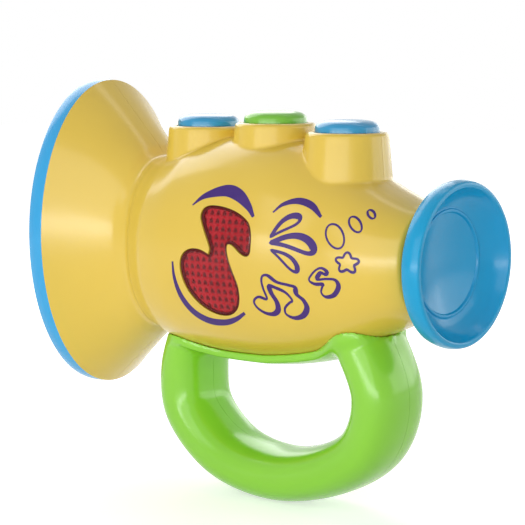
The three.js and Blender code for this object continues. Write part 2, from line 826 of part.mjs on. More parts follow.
function gripTube(inset, from = 0, to = 1) {
  const rings = [];
  for (let i = 0; i <= gripSteps; i++) {
    const share = from + ((to - from) * i) / gripSteps;
    const centre = gripLine.getPointAt(share);
    const along = gripLine.getTangentAt(share);
    const inward = new THREE.Vector3(along.z, 0, -along.x);
    const ring = [];
    for (let k = 0; k < gripSides; k++) {
      const turn = (2 * Math.PI * (k + 0.5)) / gripSides;
      const [c, s] = [Math.cos(turn), Math.sin(turn)];
      const thick = (gripHalfThickness - inset) * Math.sign(c) * Math.abs(c) ** (2 / gripRoundness);
      const deep = (gripHalfDepth - inset) * Math.sign(s) * Math.abs(s) ** (2 / gripRoundness);
      ring.push(centre.clone().addScaledVector(inward, thick).add(new THREE.Vector3(0, deep, 0)));
    }
    rings.push(ring);
  }
  return loft(rings);
}

// The saddle seen from above: an oval around each leg, with a narrow band between the two
function saddleOutline() {
  const widest = gripHalfDepth + saddleSkirt;
  const side = [];
  for (let i = 0; i <= saddleSteps; i++) {
    const turn = (Math.PI / 2) * (i / saddleSteps);
    side.push([
      saddleX1 - gripHalfThickness * (1 - Math.cos(turn) ** (2 / gripRoundness)),
      widest * Math.sin(turn) ** (2 / gripRoundness),
    ]);
  }
  for (let i = 1; i <= saddleSteps; i++) {
    const share = i / saddleSteps;
    side.push([
      saddleX1 - gripHalfThickness - saddleFlare * share,
      saddleWaist + ((widest - saddleWaist) * (1 + Math.cos(Math.PI * share))) / 2,
    ]);
  }
  const quarter = side.map(([x, y]) => new THREE.Vector2(x, y));
  const middle = (saddleX0 + saddleX1) / 2;
  const half = [...quarter, ...quarter.map((p) => new THREE.Vector2(2 * middle - p.x, p.y)).reverse()];
  const other = half.slice(1, -1).map((p) => new THREE.Vector2(p.x, -p.y));
  return new THREE.Shape([...half, ...other.reverse()]);
}

const gripScrews = gripScrewShares.map((share) => gripLine.getPointAt(share));

function handle() {
  const tube = gripTube(0);
  const under = horn(-gap);
  const saddle = prismZ(saddleOutline(), -bellyDepth - saddleThickness - overrun, -bellyDepth / 3)
    .intersect(horn(-gap - saddleThickness, saddleX0 - overrun, saddleX1 + overrun));
  let body = tube.subtract(gripTube(wall));
  const inMidWall = gripTube(wall / 2);
  for (const place of gripScrews) {
    body = body.add(screwPost(place.x, place.z).intersect(inMidWall));
  }
  body = body.add(saddle).subtract(under);
  for (const x of tenonPlaces) {
    const root = -bellyAt(x) - gap - saddleThickness / 2;
    const head = tenonSeat(x);
    const [deep, wide] = [tenonHalfDepth, tenonHalfHead];
    body = body
      .add(block(x - tenonHalfWidth, x + tenonHalfWidth, -deep, deep, root, head + gap))
      .add(block(x - wide, x + wide, -deep, deep, head, head + tenonHeadThickness));
  }
  for (const place of gripScrews) {
    body = body.subtract(screwHole(place.x, place.z, gripHalfDepth + overrun));
  }
  return body;
}

// Keys, domes and their board
function keyCap(key) {
  const top = key.top + keyRise;
  const under = key.top - bossRoof - gap;
  const skirt = keyRadius - keyWall;
  const end = keyBoardTop + domeHeight + 2 * flatGap;
  return moved(
    turned([
      ...keyCrownShares.map(([out, down]) => [keyRadius * out, top - keyRise * down]),
      [keyRadius, under],
      [keyRadius + keyFlange, under],
      [keyRadius + keyFlange, under - keyFlangeThickness],
      [skirt, under - keyFlangeThickness],
      [skirt, top - keyRise * keySkirtShare - keyWall],
      [plungerRadius, top - keyRise * keyRoofShare - keyWall],
      [plungerRadius, end],
      [0, end],
    ], "z"),
    key.x, 0, 0,
  );
}

function keyDome(key) {
  const foot = keyBoardTop + flatGap;
  return moved(
    turned([
      [0, foot],
      [domeBaseRadius, foot],
      [domeBaseRadius, foot + domeFoot],
      [domeTopRadius, foot + domeHeight - domeFoot],
      [domeTopRadius, foot + domeHeight],
      [0, foot + domeHeight],
    ], "z", smallSides),
    key.x, 0, 0,
  );
}

function keyBoard() {
  const [halfLength, halfWidth] = [keyBoardLength / 2, keyBoardWidth / 2];
  return block(-halfLength, halfLength, -halfWidth, halfWidth, keyBoardBottom, keyBoardTop);
}

// Lens with its flange, and the light box that backs it
const lensFlangeOutline = (inset) =>
  roundedRectangle(
    noteX - lensFlangeLap + inset, noteX1 + lensFlangeLap - inset,
    noteZ - lensFlangeLap + inset, noteZ1 + lensFlangeLap - inset,
    lensFlangeCorner,
  );

function lens() {
  const [x0, x1] = [noteX - 2 * lensFlangeLap, noteX1 + 2 * lensFlangeLap];
  const inner = horn(lensInside, x0 - overrun, x1 + overrun);
  const core = prismY(noteOutline(0), -reach, -soundBoardY).intersect(horn(lensRecess, x0, x1));
  const flange = prismY(lensFlangeOutline(0), -reach, -soundBoardY).intersect(horn(wall + gap, x0, x1));
  return core.add(flange).subtract(inner);
}

function lightBox() {
  const [x0, x1] = [noteX - 2 * lensFlangeLap, noteX1 + 2 * lensFlangeLap];
  const back = soundBoardFront - gap;
  const outer = prismY(lensFlangeOutline(lightBoxInset), -reach, back);
  const inner = prismY(lensFlangeOutline(lightBoxInset + lightBoxWall), -reach, back + overrun);
  return outer.subtract(inner).intersect(horn(lensInside + gap, x0, x1));
}

function soundBoard() {
  const [x0, x1] = [soundBoardX - soundBoardLength / 2, soundBoardX + soundBoardLength / 2];
  const [z0, z1] = [soundBoardZ - soundBoardHeight / 2, soundBoardZ + soundBoardHeight / 2];
  return block(x0, x1, soundBoardFront, soundBoardBack, z0, z1);
}

function lamp(right, up) {
  const foot = soundBoardFront - flatGap;
  const round = lampRadius * Math.SQRT1_2;
  return moved(
    turned([
      [0, foot],
      [lampRadius, foot],
      [lampRadius, foot - lampHeight + lampRadius],
      [round, foot - lampHeight + lampRadius - round],
      [0, foot - lampHeight],
    ], "y", smallSides),
    noteX + noteWidth * right, 0, noteZ + noteHeight * up,
  );
}

function soundChip() {
  const half = chipSize / 2;
  const foot = soundBoardBack + flatGap;
  return block(
    soundBoardX - half, soundBoardX + half,
    foot, foot + chipHeight,
    soundBoardZ - half, soundBoardZ + half,
  );
}

// Battery box
function batteryTray() {
  const rim = cellY + trayRim;
  const outer = block(-trayHalfLength, trayHalfLength, trayBack, rim, -trayHalfHeight, trayHalfHeight);
  const room = block(
    -trayHalfInside, trayHalfInside,
    trayBack + trayWall, rim + overrun,
    -trayHalfHeightInside, trayHalfHeightInside,
  );
  return outer.subtract(room);
}

function cell(up, nubEnd) {
  const half = cellLength / 2;
  const body = turned([
    [0, -half],
    [cellRadius - cellNub, -half],
    [cellRadius, cellNub - half],
    [cellRadius, half - 2 * cellNub],
    [cellRadius - cellNub, half - cellNub],
    [cellNubRadius, half - cellNub],
    [cellNubRadius, half],
    [0, half],
  ], "x");
  const turnedBody = nubEnd > 0 ? body : body.rotate([0, 0, 180]);
  return moved(turnedBody, 0, cellY, up * (cellPitch / 2));
}

// A contact plate against a tray end, with a spring boss for each cell it touches
function contact(end, ups) {
  const back = end * (trayHalfInside - gap);
  const face = end * (trayHalfInside - gap - contactThickness);
  const tip = end * (cellLength / 2 + gap);
  const half = contactHalfSize;
  const low = Math.min(...ups) * (cellPitch / 2) - half;
  const high = Math.max(...ups) * (cellPitch / 2) + half;
  const [x0, x1] = [Math.min(back, face), Math.max(back, face)];
  let made = block(x0, x1, cellY - half, cellY + half, low, high);
  const profile = [[0, back], [contactSpringRadius, back], [contactTipRadius, tip], [0, tip]];
  const spring = turned(profile, "x", smallSides);
  for (const up of ups) {
    made = made.add(moved(spring, 0, cellY, up * (cellPitch / 2)));
  }
  return made;
}

function batteryDoor() {
  const skin = prismY(doorOutline(0), cellY, reach).intersect(horn(0)).subtract(horn(wall));
  const bossFoot = doorInside - doorBossHeight;
  const doorBossTop = doorFace - wall / 2;
  const doorBoss = moved(rod(doorBossRadius, bossFoot, doorBossTop, "y", smallSides), doorScrewX, 0, 0);
  const seat = doorFace - doorHeadDrop;
  const hole = rod(screwShankRadius + gap, bossFoot - overrun, doorFace, "y", smallSides)
    .add(rod(screwHeadRadius + gap, seat, doorFace + overrun, "y", smallSides));
  return skin.add(doorBoss).subtract(moved(hole, doorScrewX, 0, 0));
}

function switchBody() {
  const half = switchBodyLength / 2;
  return block(
    switchX - half, switchX + half,
    switchBodyTop - switchBodyDepth, switchBodyTop,
    -switchBodyWidth / 2, switchBodyWidth / 2,
  );
}

function switchKnob() {
  const plate = block(
    switchX0 - knobPlateHalfLength, switchX0 + knobPlateHalfLength,
    knobPlateTop - knobPlateThickness, knobPlateTop,
    -knobPlateHalfWidth, knobPlateHalfWidth,
  );
  const stem = block(
    switchX0 - knobHalfLength, switchX0 + knobHalfLength,
    knobPlateTop - knobPlateThickness / 2, sideAt(switchX0) + knobRise,
    -knobHalfWidth, knobHalfWidth,
  );
  return plate.add(stem);
}

// The finished assembly: groups of named pieces with their finishes
const finish = {
  yellow: { color: 0xecc94a, roughness: 0.22, metalness: 0 },
  blue: { color: 0x3aa9dc, roughness: 0.22, metalness: 0 },
  green: { color: 0x84cc33, roughness: 0.22, metalness: 0 },
  red: { color: 0xb01a28, roughness: 0.15, metalness: 0 },
  white: { color: 0xe8e8e4, roughness: 0.5, metalness: 0 },
  black: { color: 0x202224, roughness: 0.6, metalness: 0 },
  board: { color: 0x2f6b3c, roughness: 0.55, metalness: 0 },
  rubber: { color: 0xcfd3d6, roughness: 0.8, metalness: 0 },
  steel: { color: 0xb9bcc0, roughness: 0.35, metalness: 1 },
  cell: { color: 0x3b3f45, roughness: 0.4, metalness: 0.3 },
};

const trumpet = new THREE.Group();
const model = new THREE.Group();
trumpet.add(model);

function group() {
  const made = new THREE.Group();
  model.add(made);
  return made;
}

function place(parent, name, body, look) {
  const mesh = new THREE.Mesh(geometryOf(body), new THREE.MeshStandardMaterial(look));
  mesh.name = name;
  parent.add(mesh);
}

const walls = shells();
const housing = group();
place(housing, "front_shell", frontShell(walls), finish.yellow);
place(housing, "rear_shell", rearShell(walls), finish.yellow);
place(housing, "bell_ring", bellRing(), finish.blue);
place(housing, "bell_grille", bellGrille(), finish.blue);
place(housing, "mouthpiece_cup", mouthpieceCup(), finish.blue);
shellScrews.forEach(([x, z], i) => {
  place(housing, `shell_screw_${i + 1}`, screw(x, screwSeat + flatGap, z, screwLength), finish.steel);
});

const grip = group();
const handleBody = handle();
place(grip, "handle_front_half", handleBody.intersect(frontHalf), finish.green);
place(grip, "handle_rear_half", handleBody.intersect(rearHalf), finish.green);
gripScrews.forEach((at, i) => {
  place(grip, `handle_screw_${i + 1}`, screw(at.x, screwSeat + flatGap, at.z, screwLength), finish.steel);
});

const keyWork = group();
for (const key of keys) {
  place(keyWork, `key_${key.name}`, keyCap(key), { ...finish.blue, color: key.colour });
  place(keyWork, `dome_${key.name}`, keyDome(key), finish.rubber);
}
place(keyWork, "key_board", keyBoard(), finish.board);

const speaker = group();
place(speaker, "speaker_frame", speakerFrame(), finish.steel);
place(speaker, "speaker_cone", speakerCone(), finish.black);
place(speaker, "speaker_magnet", speakerMagnet(), finish.steel);

const light = group();
place(light, "lens", lens(), finish.red);
place(light, "light_box", lightBox(), finish.white);
place(light, "sound_board", soundBoard(), finish.board);
place(light, "sound_chip", soundChip(), finish.black);
for (const [name, right, up] of lampShares) {
  place(light, name, lamp(right, up), finish.red);
}

const power = group();
place(power, "battery_tray", batteryTray(), finish.black);
place(power, "battery_upper", cell(1, 1), finish.cell);
place(power, "battery_lower", cell(-1, -1), finish.cell);
place(power, "contact_bridge", contact(-1, [-1, 1]), finish.steel);
place(power, "contact_plus", contact(1, [1]), finish.steel);
place(power, "contact_minus", contact(1, [-1]), finish.steel);
place(power, "battery_door", batteryDoor(), finish.yellow);
const doorSeat = doorFace - doorHeadDrop + flatGap;
place(power, "door_screw", screw(doorScrewX, doorSeat, 0, doorScrewLength), finish.steel);
place(power, "switch_body", switchBody(), finish.black);
place(power, "switch_knob", switchKnob(), finish.black);

// The part's own frame has its origin at the middle of the whole toy
trumpet.updateMatrixWorld(true);
model.position.sub(new THREE.Box3().setFromObject(model).getCenter(new THREE.Vector3()));
trumpet.updateMatrixWorld(true);

export default trumpet;
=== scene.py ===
# %% [markdown]
# # A toy trumpet in Blender
# A toddler's trumpet is a handful of glossy plastic mouldings: a yellow horn in two halves, a blue ring
# and cup, three push keys, a red lens and a green ring handle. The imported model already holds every
# piece at its real place and size, with flat facets. Here each visible piece gets its smooth surface
# and its finish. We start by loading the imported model, which nothing below moves or resizes.

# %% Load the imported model
import math

import bmesh
import bpy
import numpy as np
import openvdb
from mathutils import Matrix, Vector


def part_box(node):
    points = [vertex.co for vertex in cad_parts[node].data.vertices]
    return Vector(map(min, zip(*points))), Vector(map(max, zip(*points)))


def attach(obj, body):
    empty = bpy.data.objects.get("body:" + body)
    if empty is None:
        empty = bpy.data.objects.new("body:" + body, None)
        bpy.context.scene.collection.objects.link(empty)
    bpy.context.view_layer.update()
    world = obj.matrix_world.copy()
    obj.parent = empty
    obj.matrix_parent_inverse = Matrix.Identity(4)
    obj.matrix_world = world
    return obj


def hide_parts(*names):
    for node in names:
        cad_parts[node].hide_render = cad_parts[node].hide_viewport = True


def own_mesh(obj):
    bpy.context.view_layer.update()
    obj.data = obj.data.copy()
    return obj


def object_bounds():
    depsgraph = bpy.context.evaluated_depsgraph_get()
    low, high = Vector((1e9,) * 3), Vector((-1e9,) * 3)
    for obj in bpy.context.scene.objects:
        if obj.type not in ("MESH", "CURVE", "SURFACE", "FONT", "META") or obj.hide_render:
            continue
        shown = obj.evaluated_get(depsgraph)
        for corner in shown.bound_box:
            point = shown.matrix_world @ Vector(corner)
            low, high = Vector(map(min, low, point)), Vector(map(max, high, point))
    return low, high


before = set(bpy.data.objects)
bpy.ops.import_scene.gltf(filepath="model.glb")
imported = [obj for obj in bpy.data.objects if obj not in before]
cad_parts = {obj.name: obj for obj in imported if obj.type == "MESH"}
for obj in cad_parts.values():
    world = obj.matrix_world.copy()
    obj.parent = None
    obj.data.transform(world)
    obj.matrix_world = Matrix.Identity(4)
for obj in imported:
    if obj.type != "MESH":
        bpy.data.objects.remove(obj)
cad_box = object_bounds()
print("packed pieces:", len(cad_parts))

# %% [markdown]
# It is easier to think about the toy in millimetres, from one natural centre. We take X along the horn
# from the middle key, Y away from the side with the lens, and Z up from the horn's axis. Two packed
# pieces give that centre: the middle key stands on it, and the mouthpiece cup is round about it.

# %% The drawing's centre
def middle_of(node):
    low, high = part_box(node)
    return (np.array(low) + np.array(high)) / 2


mm = 0.001
centre = np.array([middle_of("key_middle")[0], 0.0, middle_of("mouthpiece_cup")[2]])


def to_part(points):
    """Millimetres from the drawing's centre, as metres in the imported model's frame."""
    return np.asarray(points, float) * mm + centre


def node_mm(node):
    """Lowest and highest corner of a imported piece, in millimetres from the drawing's centre."""
    low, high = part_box(node)
    return (np.array(low) - centre) / mm, (np.array(high) - centre) / mm


def middle_mm(node):
    """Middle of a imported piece, in millimetres from the drawing's centre."""
    return (middle_of(node) - centre) / mm


print("centre:", np.round(centre / mm, 2), "mm")

# %% [markdown]
# ## The camera
# The photograph was taken with a long lens from a little above, on the lens side and towards the
# mouthpiece. A long lens keeps the bell from looming, so its distance matters as much as its direction.

# %% The camera
camera_azimuth = 40.66
camera_elevation = 7.03
camera_distance = 742.0
camera_aim = (-7.32, 0.0, -7.38)
camera_lens = 117.14
sensor_width = 36.0


def direction(azimuth, elevation):
    """The way out from the toy, from two angles in degrees."""
    azimuth, elevation = math.radians(azimuth), math.radians(elevation)
    return Vector((
        math.sin(azimuth) * math.cos(elevation),
        -math.cos(azimuth) * math.cos(elevation),
        math.sin(elevation),
    ))


def linked(name, data):
    """A new object in the scene."""
    made = bpy.data.objects.new(name, data)
    bpy.context.scene.collection.objects.link(made)
    return made


def face_the_toy(thing, out):
    """Turns a camera or a lamp that stands out from the toy to look back along that way."""
    thing.rotation_mode = "QUATERNION"
    thing.rotation_quaternion = (-out).to_track_quat("-Z", "Y")


camera = linked("camera", bpy.data.cameras.new("camera"))
bpy.context.scene.camera = camera
camera_out = direction(camera_azimuth, camera_elevation)
camera.location = Vector(to_part(camera_aim)) + camera_out * camera_distance * mm
face_the_toy(camera, camera_out)
camera.data.lens = camera_lens
camera.data.sensor_width = sensor_width
print("camera at", [round(c, 3) for c in camera.location])

# %% [markdown]
# ## Moulded plastic
# Every moulding here is glossy ABS. Its colour is nearly even, but not quite: it is a touch deeper
# where the plastic flowed last. Its skin has a faint orange peel from the mould, and play leaves fine
# scuffs that dull the gloss in places. All of that can be made from noise in the piece's own
# coordinates, so no picture is needed and the finish follows the piece when it moves.

# %% Node helpers
def linear(colour):
    """A colour such as "#EED477" as the linear values that a shader takes."""
    parts = [int(colour[i:i + 2], 16) / 255 for i in (1, 3, 5)]
    return [c / 12.92 if c <= 0.04045 else ((c + 0.055) / 1.055) ** 2.4 for c in parts] + [1.0]


def add_node(tree, kind, inputs, **settings):
    """One shader node; an input is a value, or another node's output."""
    made = tree.nodes.new(kind)
    for name, value in settings.items():
        setattr(made, name, value)
    for name, value in inputs.items():
        if isinstance(value, bpy.types.NodeSocket):
            tree.links.new(value, made.inputs[name])
        else:
            made.inputs[name].default_value = value
    return made


def new_material(name):
    """An empty material with its output, ready for a shader."""
    made = bpy.data.materials.new(name)
    made.use_nodes = True
    made.node_tree.nodes.clear()
    return made, made.node_tree


# %% Noise, ranges and mixes
def noise(tree, scale, detail=2.0, stretch=(1.0, 1.0, 1.0), roughness=0.5):
    """Smooth noise in the piece's coordinates; scale is waves per metre."""
    place = add_node(tree, "ShaderNodeTexCoord", {}).outputs["Object"]
    squeezed = add_node(tree, "ShaderNodeMapping", {"Vector": place, "Scale": stretch})
    made = add_node(tree, "ShaderNodeTexNoise", {
        "Vector": squeezed.outputs["Vector"], "Scale": scale, "Detail": detail, "Roughness": roughness,
    })
    return made.outputs["Fac"]


def spread(tree, value, low, high, to_low, to_high):
    """A value from one range stretched over another."""
    made = add_node(tree, "ShaderNodeMapRange", {
        "Value": value, "From Min": low, "From Max": high, "To Min": to_low, "To Max": to_high,
    })
    return made.outputs["Result"]


def mixed(tree, share, first, second):
    """Two colours mixed by a share."""
    made = add_node(tree, "ShaderNodeMix", {"Factor": share}, data_type="RGBA")
    for socket, value in ((made.inputs[6], first), (made.inputs[7], second)):
        if isinstance(value, bpy.types.NodeSocket):
            tree.links.new(value, socket)
        else:
            socket.default_value = value
    return made.outputs[2]


# %% Sums, bumps and the surface
def maths(tree, operation, *values, clamp=False):
    """One sum on values or other nodes' outputs."""
    made = add_node(tree, "ShaderNodeMath", dict(enumerate(values)), operation=operation, use_clamp=clamp)
    return made.outputs[0]


def bumped(tree, height, relief):
    """A surface's lean, from a height between 0 and 1 and a relief in millimetres."""
    made = add_node(tree, "ShaderNodeBump", {"Height": height, "Strength": 1.0, "Distance": relief * mm})
    return made.outputs["Normal"]


def surface(tree, inputs):
    """The shader of a finish, wired to the material's output."""
    shader = add_node(tree, "ShaderNodeBsdfPrincipled", inputs)
    add_node(tree, "ShaderNodeOutputMaterial", {"Surface": shader.outputs["BSDF"]})


# %% The plastic itself
# Waves per metre of the flow marks, the scuffs, the places that wear, the orange peel and its grain
flow_waves = 14.0
scuff_waves = 520.0
wear_waves = 34.0
peel_waves = 210.0
grain_waves = 2600.0
grain_share = 0.08
scuff_stretch = (0.22, 1.0, 1.0)


def moulded_plastic(name, colour, deep, gloss=0.2, scuff=0.07, peel=0.01, ior=1.53):
    """Glossy moulded plastic: an even colour with deeper flow marks, orange peel and fine scuffs."""
    material, tree = new_material(name)
    flow = spread(tree, noise(tree, flow_waves, 3.0, (1.0, 1.0, 0.6)), 0.38, 0.72, 0.0, 0.5)
    scuffs = spread(tree, noise(tree, scuff_waves, 4.0, scuff_stretch, 0.65), 0.56, 0.72, 0.0, 1.0)
    worn_places = spread(tree, noise(tree, wear_waves, 3.0), 0.52, 0.7, 0.1, 1.0)
    worn = maths(tree, "MULTIPLY", scuffs, worn_places, clamp=True)
    height = maths(tree, "MULTIPLY_ADD", noise(tree, grain_waves), grain_share, noise(tree, peel_waves))
    surface(tree, {
        "Base Color": mixed(tree, flow, linear(colour), linear(deep)),
        "Roughness": spread(tree, worn, 0.0, 1.0, gloss, gloss + scuff),
        "Normal": bumped(tree, height, peel),
        "IOR": ior,
    })
    return material


yellow_plastic = moulded_plastic("yellow_plastic", "#E5C44C", "#DCB83C")
ring_blue_plastic = moulded_plastic("ring_blue_plastic", "#28A6E2", "#1F98D6")
cup_blue_plastic = moulded_plastic("cup_blue_plastic", "#12A5D8", "#0E99CA", ior=1.38)
green_plastic = moulded_plastic("green_plastic", "#8FD636", "#82CB2A")
key_blue_plastic = moulded_plastic("key_blue_plastic", "#2C9ACB", "#238DC0")
key_green_plastic = moulded_plastic("key_green_plastic", "#79C235", "#6BB528")
print("plastics:", len(bpy.data.materials))

# %% [markdown]
# ## The form of the horn
# Seen from the end, the horn is an oval that is a little squarer than an ellipse. Along its length the
# crown, the belly and the sides each swell and draw in at their own pace, as on a clay model. The
# stations below say how, as shares of the largest sizes, and a smooth curve that never overshoots
# joins them. Any point of the skin follows from that, so it can be made as fine as we like.

# %% Sizes of the horn
bell_half_height = 70.6
bell_half_width = 45.1
bell_depth = 35.1
flare_power = 1.9
barrel_length = 146.5
middle_key_share = 0.44
neck_crown = 36.8
neck_belly = 40.3
neck_side = 27.7
crown_height = 48.2
belly_depth = 47.5
barrel_half_width = 37.2
roundness = 2.2
wall = 2.4
gap = 0.3
bell_step_shares = [0.9, 0.75, 0.55, 0.35, 0.15]
# Along the barrel from the neck, then crown, belly and side as shares of their largest sizes
barrel_shares = [
    (0.051, 0.772, 0.874, 0.86),
    (0.126, 0.83, 0.943, 0.968),
    (0.222, 0.929, 0.985, 1),
    (0.338, 0.988, 1, 0.995),
    (0.44, 1, 0.996, 0.962),
    (0.543, 0.979, 0.964, 0.919),
    (0.645, 0.892, 0.905, 0.86),
    (0.727, 0.78, 0.832, 0.82),
    (0.795, 0.705, 0.754, 0.801),
    (0.863, 0.608, 0.669, 0.775),
    (0.918, 0.54, 0.594, 0.735),
    (0.966, 0.484, 0.522, 0.665),
    (1, 0.452, 0.459, 0.591),
]
neck_x = -barrel_length * middle_key_share
rim_x = neck_x - bell_depth
end_x = neck_x + barrel_length
print("horn from", round(rim_x, 1), "to", round(end_x, 1), "mm")

# %% Stations along the horn
def bell_station(share):
    """A section of the bell, from its neck at 0 to its rim at 1."""
    return (
        neck_x - bell_depth * share,
        neck_crown + (bell_half_height - neck_crown) * share,
        neck_belly + (bell_half_height - neck_belly) * share,
        neck_side + (bell_half_width - neck_side) * share ** flare_power,
    )


def barrel_station(along, crown, belly, side):
    """A section of the barrel, from shares of its sizes."""
    return (
        neck_x + barrel_length * along,
        crown_height * crown,
        belly_depth * belly,
        barrel_half_width * side,
    )


stations = np.array(
    [bell_station(share) for share in (1, *bell_step_shares, 0)]
    + [barrel_station(*row) for row in barrel_shares]
)


def curve_slopes(table):
    """Slopes at the stations that keep each curve from overshooting."""
    rise = np.diff(table[:, 1:], axis=0) / np.diff(table[:, :1], axis=0)
    before, after = rise[:-1], rise[1:]
    total = np.where(before * after > 0, before + after, 1)
    inner = np.where(before * after > 0, 2 * before * after / total, 0)
    return np.vstack([rise[:1], inner, rise[-1:]])


slopes = curve_slopes(stations)
print("stations:", len(stations))

# %% Section of the horn at any place
def horn_size(x, column):
    """One size of the section at x, and how fast it changes along x."""
    inside = np.clip(x, stations[0, 0], stations[-1, 0])
    k = np.clip(np.searchsorted(stations[:, 0], inside, side="right") - 1, 0, len(stations) - 2)
    width = stations[k + 1, 0] - stations[k, 0]
    t = (inside - stations[k, 0]) / width
    low, high = stations[k, column], stations[k + 1, column]
    low_slope, high_slope = slopes[k, column - 1] * width, slopes[k + 1, column - 1] * width
    size = (
        (2 * t**3 - 3 * t**2 + 1) * low + (3 * t**2 - 2 * t**3) * high
        + (t**3 - 2 * t**2 + t) * low_slope + (t**3 - t**2) * high_slope
    )
    change = (
        6 * (t**2 - t) * (low - high)
        + (3 * t**2 - 4 * t + 1) * low_slope + (3 * t**2 - 2 * t) * high_slope
    ) / width
    return size + change * (x - inside), change


# %% The horn as a field
def section_power(x):
    """The bell is an ellipse, and the barrel a little squarer."""
    return roundness + (2 - roundness) * np.clip((neck_x - x) / bell_depth, 0, 1)


def horn_field(x, y, z):
    """Millimetres outside the horn's skin, below zero inside it."""
    crown, crown_slope = horn_size(x, 1)
    belly, belly_slope = horn_size(x, 2)
    side, side_slope = horn_size(x, 3)
    up = z - (crown - belly) / 2
    power = section_power(x)
    across = np.abs(y / side) ** power
    along_z = np.abs(up / ((crown + belly) / 2)) ** power
    reach = np.maximum(across + along_z, 1e-4)
    lean = (across * side_slope + along_z * np.where(up > 0, crown_slope, belly_slope)) / reach
    from_axis = np.sqrt(y * y + up * up)
    return from_axis * (1 - reach ** (-1 / power)) / np.sqrt(1 + lean * lean)


def side_surface(x, z):
    """Where the skin is on the lens side, at a place seen from there."""
    crown, belly, half_width = (horn_size(x, column)[0] for column in (1, 2, 3))
    power = section_power(x)
    up = np.abs((z - (crown - belly) / 2) / ((crown + belly) / 2)) ** power
    return -half_width * np.maximum(1 - up, 0) ** (1 / power)


# %% [markdown]
# ## From a formula to a mesh
# A moulding has walls, posts and fillets that all run into each other. Joining meshes gives hard,
# uneven corners there, so we describe each moulding as a field instead: the distance from its skin at
# any point. Fields join, cut and round with small formulas. A voxel grid turns the field into quads,
# and a few Newton steps then move every corner of them exactly onto the skin, so it shades smoothly.

# %% Rules that join fields
def axis_distance(a, b, at=(0, 0)):
    """How far every place is from a straight axis that is seen end on."""
    return np.sqrt((a - at[0]) ** 2 + (b - at[1]) ** 2)


def filleted(a, b, radius):
    """Inside either field, with a fillet in the corner between them."""
    near_a, near_b = np.maximum(radius - a, 0), np.maximum(radius - b, 0)
    return np.maximum(np.minimum(a, b), radius) - np.sqrt(near_a**2 + near_b**2)


def rounded(a, b, radius):
    """Inside both fields, with the edge between them rounded."""
    past_a, past_b = a + radius, b + radius
    outside = np.sqrt(np.maximum(past_a, 0) ** 2 + np.maximum(past_b, 0) ** 2)
    return outside + np.minimum(np.maximum(past_a, past_b), 0) - radius


# %% The mesher
newton_steps = 4
probe = 0.04
least_lean = 0.2


def skin_of(field, low, high, voxel):
    """Quads over the zero surface of a field, between two corners, all in millimetres."""
    axes = [np.arange(a, b + voxel, voxel) for a, b in zip(low, high)]
    x, y, z = np.meshgrid(*axes, indexing="ij", sparse=True)
    band = 3 * voxel
    values = np.clip(np.broadcast_to(field(x, y, z), [len(a) for a in axes]), -band, band)
    grid = openvdb.FloatGrid(band)
    grid.copyFromArray(np.ascontiguousarray(values, np.float32))
    points, quads = grid.convertToQuads(isovalue=0.0)
    points = np.array(points, float) * voxel + np.array([axis[0] for axis in axes])
    for _ in range(newton_steps):
        here = field(*points.T)
        lean = np.stack([
            (field(*(points + probe * e).T) - field(*(points - probe * e).T)) / (2 * probe)
            for e in np.eye(3)
        ], axis=1)
        push = here / np.maximum((lean**2).sum(1), least_lean)
        points -= lean * np.clip(push, -voxel / 2, voxel / 2)[:, None]
    return points, np.array(quads)


# %% Meshes in the scene
weld_distance = 1e-7


def add_mesh(name, points, faces, material, weld=True):
    """A closed mesh from points in millimetres, the right way out by the sign of its volume."""
    mesh = bpy.data.meshes.new(name)
    mesh.from_pydata(to_part(points).tolist(), [], faces)
    mesh.materials.append(material)
    work = bmesh.new()
    work.from_mesh(mesh)
    if weld:
        bmesh.ops.remove_doubles(work, verts=work.verts, dist=weld_distance)
        bmesh.ops.recalc_face_normals(work, faces=work.faces)
    if work.calc_volume(signed=True) < 0:
        bmesh.ops.reverse_faces(work, faces=work.faces)
    work.to_mesh(mesh)
    work.free()
    return linked(name, mesh)


def add_skin(name, field, low, high, voxel, material):
    """A field's skin as a mesh."""
    points, quads = skin_of(field, low, high, voxel)
    return add_mesh(name, points, quads.tolist(), material, weld=False)


# %% A finished piece
sharp_angle = math.radians(38)


def finish_piece(piece, body, slot, *nodes):
    """Smooth shading up to the sharp edges, and the piece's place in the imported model."""
    piece.data.shade_smooth()
    piece.data.set_sharp_from_angle(angle=sharp_angle)
    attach(piece, body)
    if nodes:
        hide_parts(*nodes)
    print(piece.name, "faces:", len(piece.data.polygons))


# %% Cutting one piece by another
def settle(piece):
    """Applies a piece's modifiers to its mesh."""
    graph = bpy.context.evaluated_depsgraph_get()
    finished = bpy.data.meshes.new_from_object(piece.evaluated_get(graph))
    piece.modifiers.clear()
    piece.data = finished


def carve(piece, tools, operation="DIFFERENCE"):
    """Cuts a piece by closed tools, one after the other, and clears them away."""
    for tool in tools:
        modifier = piece.modifiers.new("carve", "BOOLEAN")
        modifier.object = tool
        modifier.operation = operation
        modifier.solver = "MANIFOLD"
        settle(piece)
        bpy.data.objects.remove(tool)


def copy_of(piece, name):
    """A second piece with a mesh of its own."""
    twin = piece.copy()
    twin.data = piece.data.copy()
    twin.name = name
    bpy.context.scene.collection.objects.link(twin)
    return twin


# %% Rows of points as closed meshes
def ring_faces(rings, sides, closed=False):
    """Quads between rows of points, and caps at both ends unless the rows close on themselves."""
    faces = []
    for r in range(rings if closed else rings - 1):
        for i in range(sides):
            a, b = r * sides + i, r * sides + (i + 1) % sides
            c, d = ((r + 1) % rings) * sides + (i + 1) % sides, ((r + 1) % rings) * sides + i
            faces.append((a, b, c, d))
    if not closed:
        faces.append(tuple(range(sides)))
        faces.append(tuple(reversed(range((rings - 1) * sides, rings * sides))))
    return faces


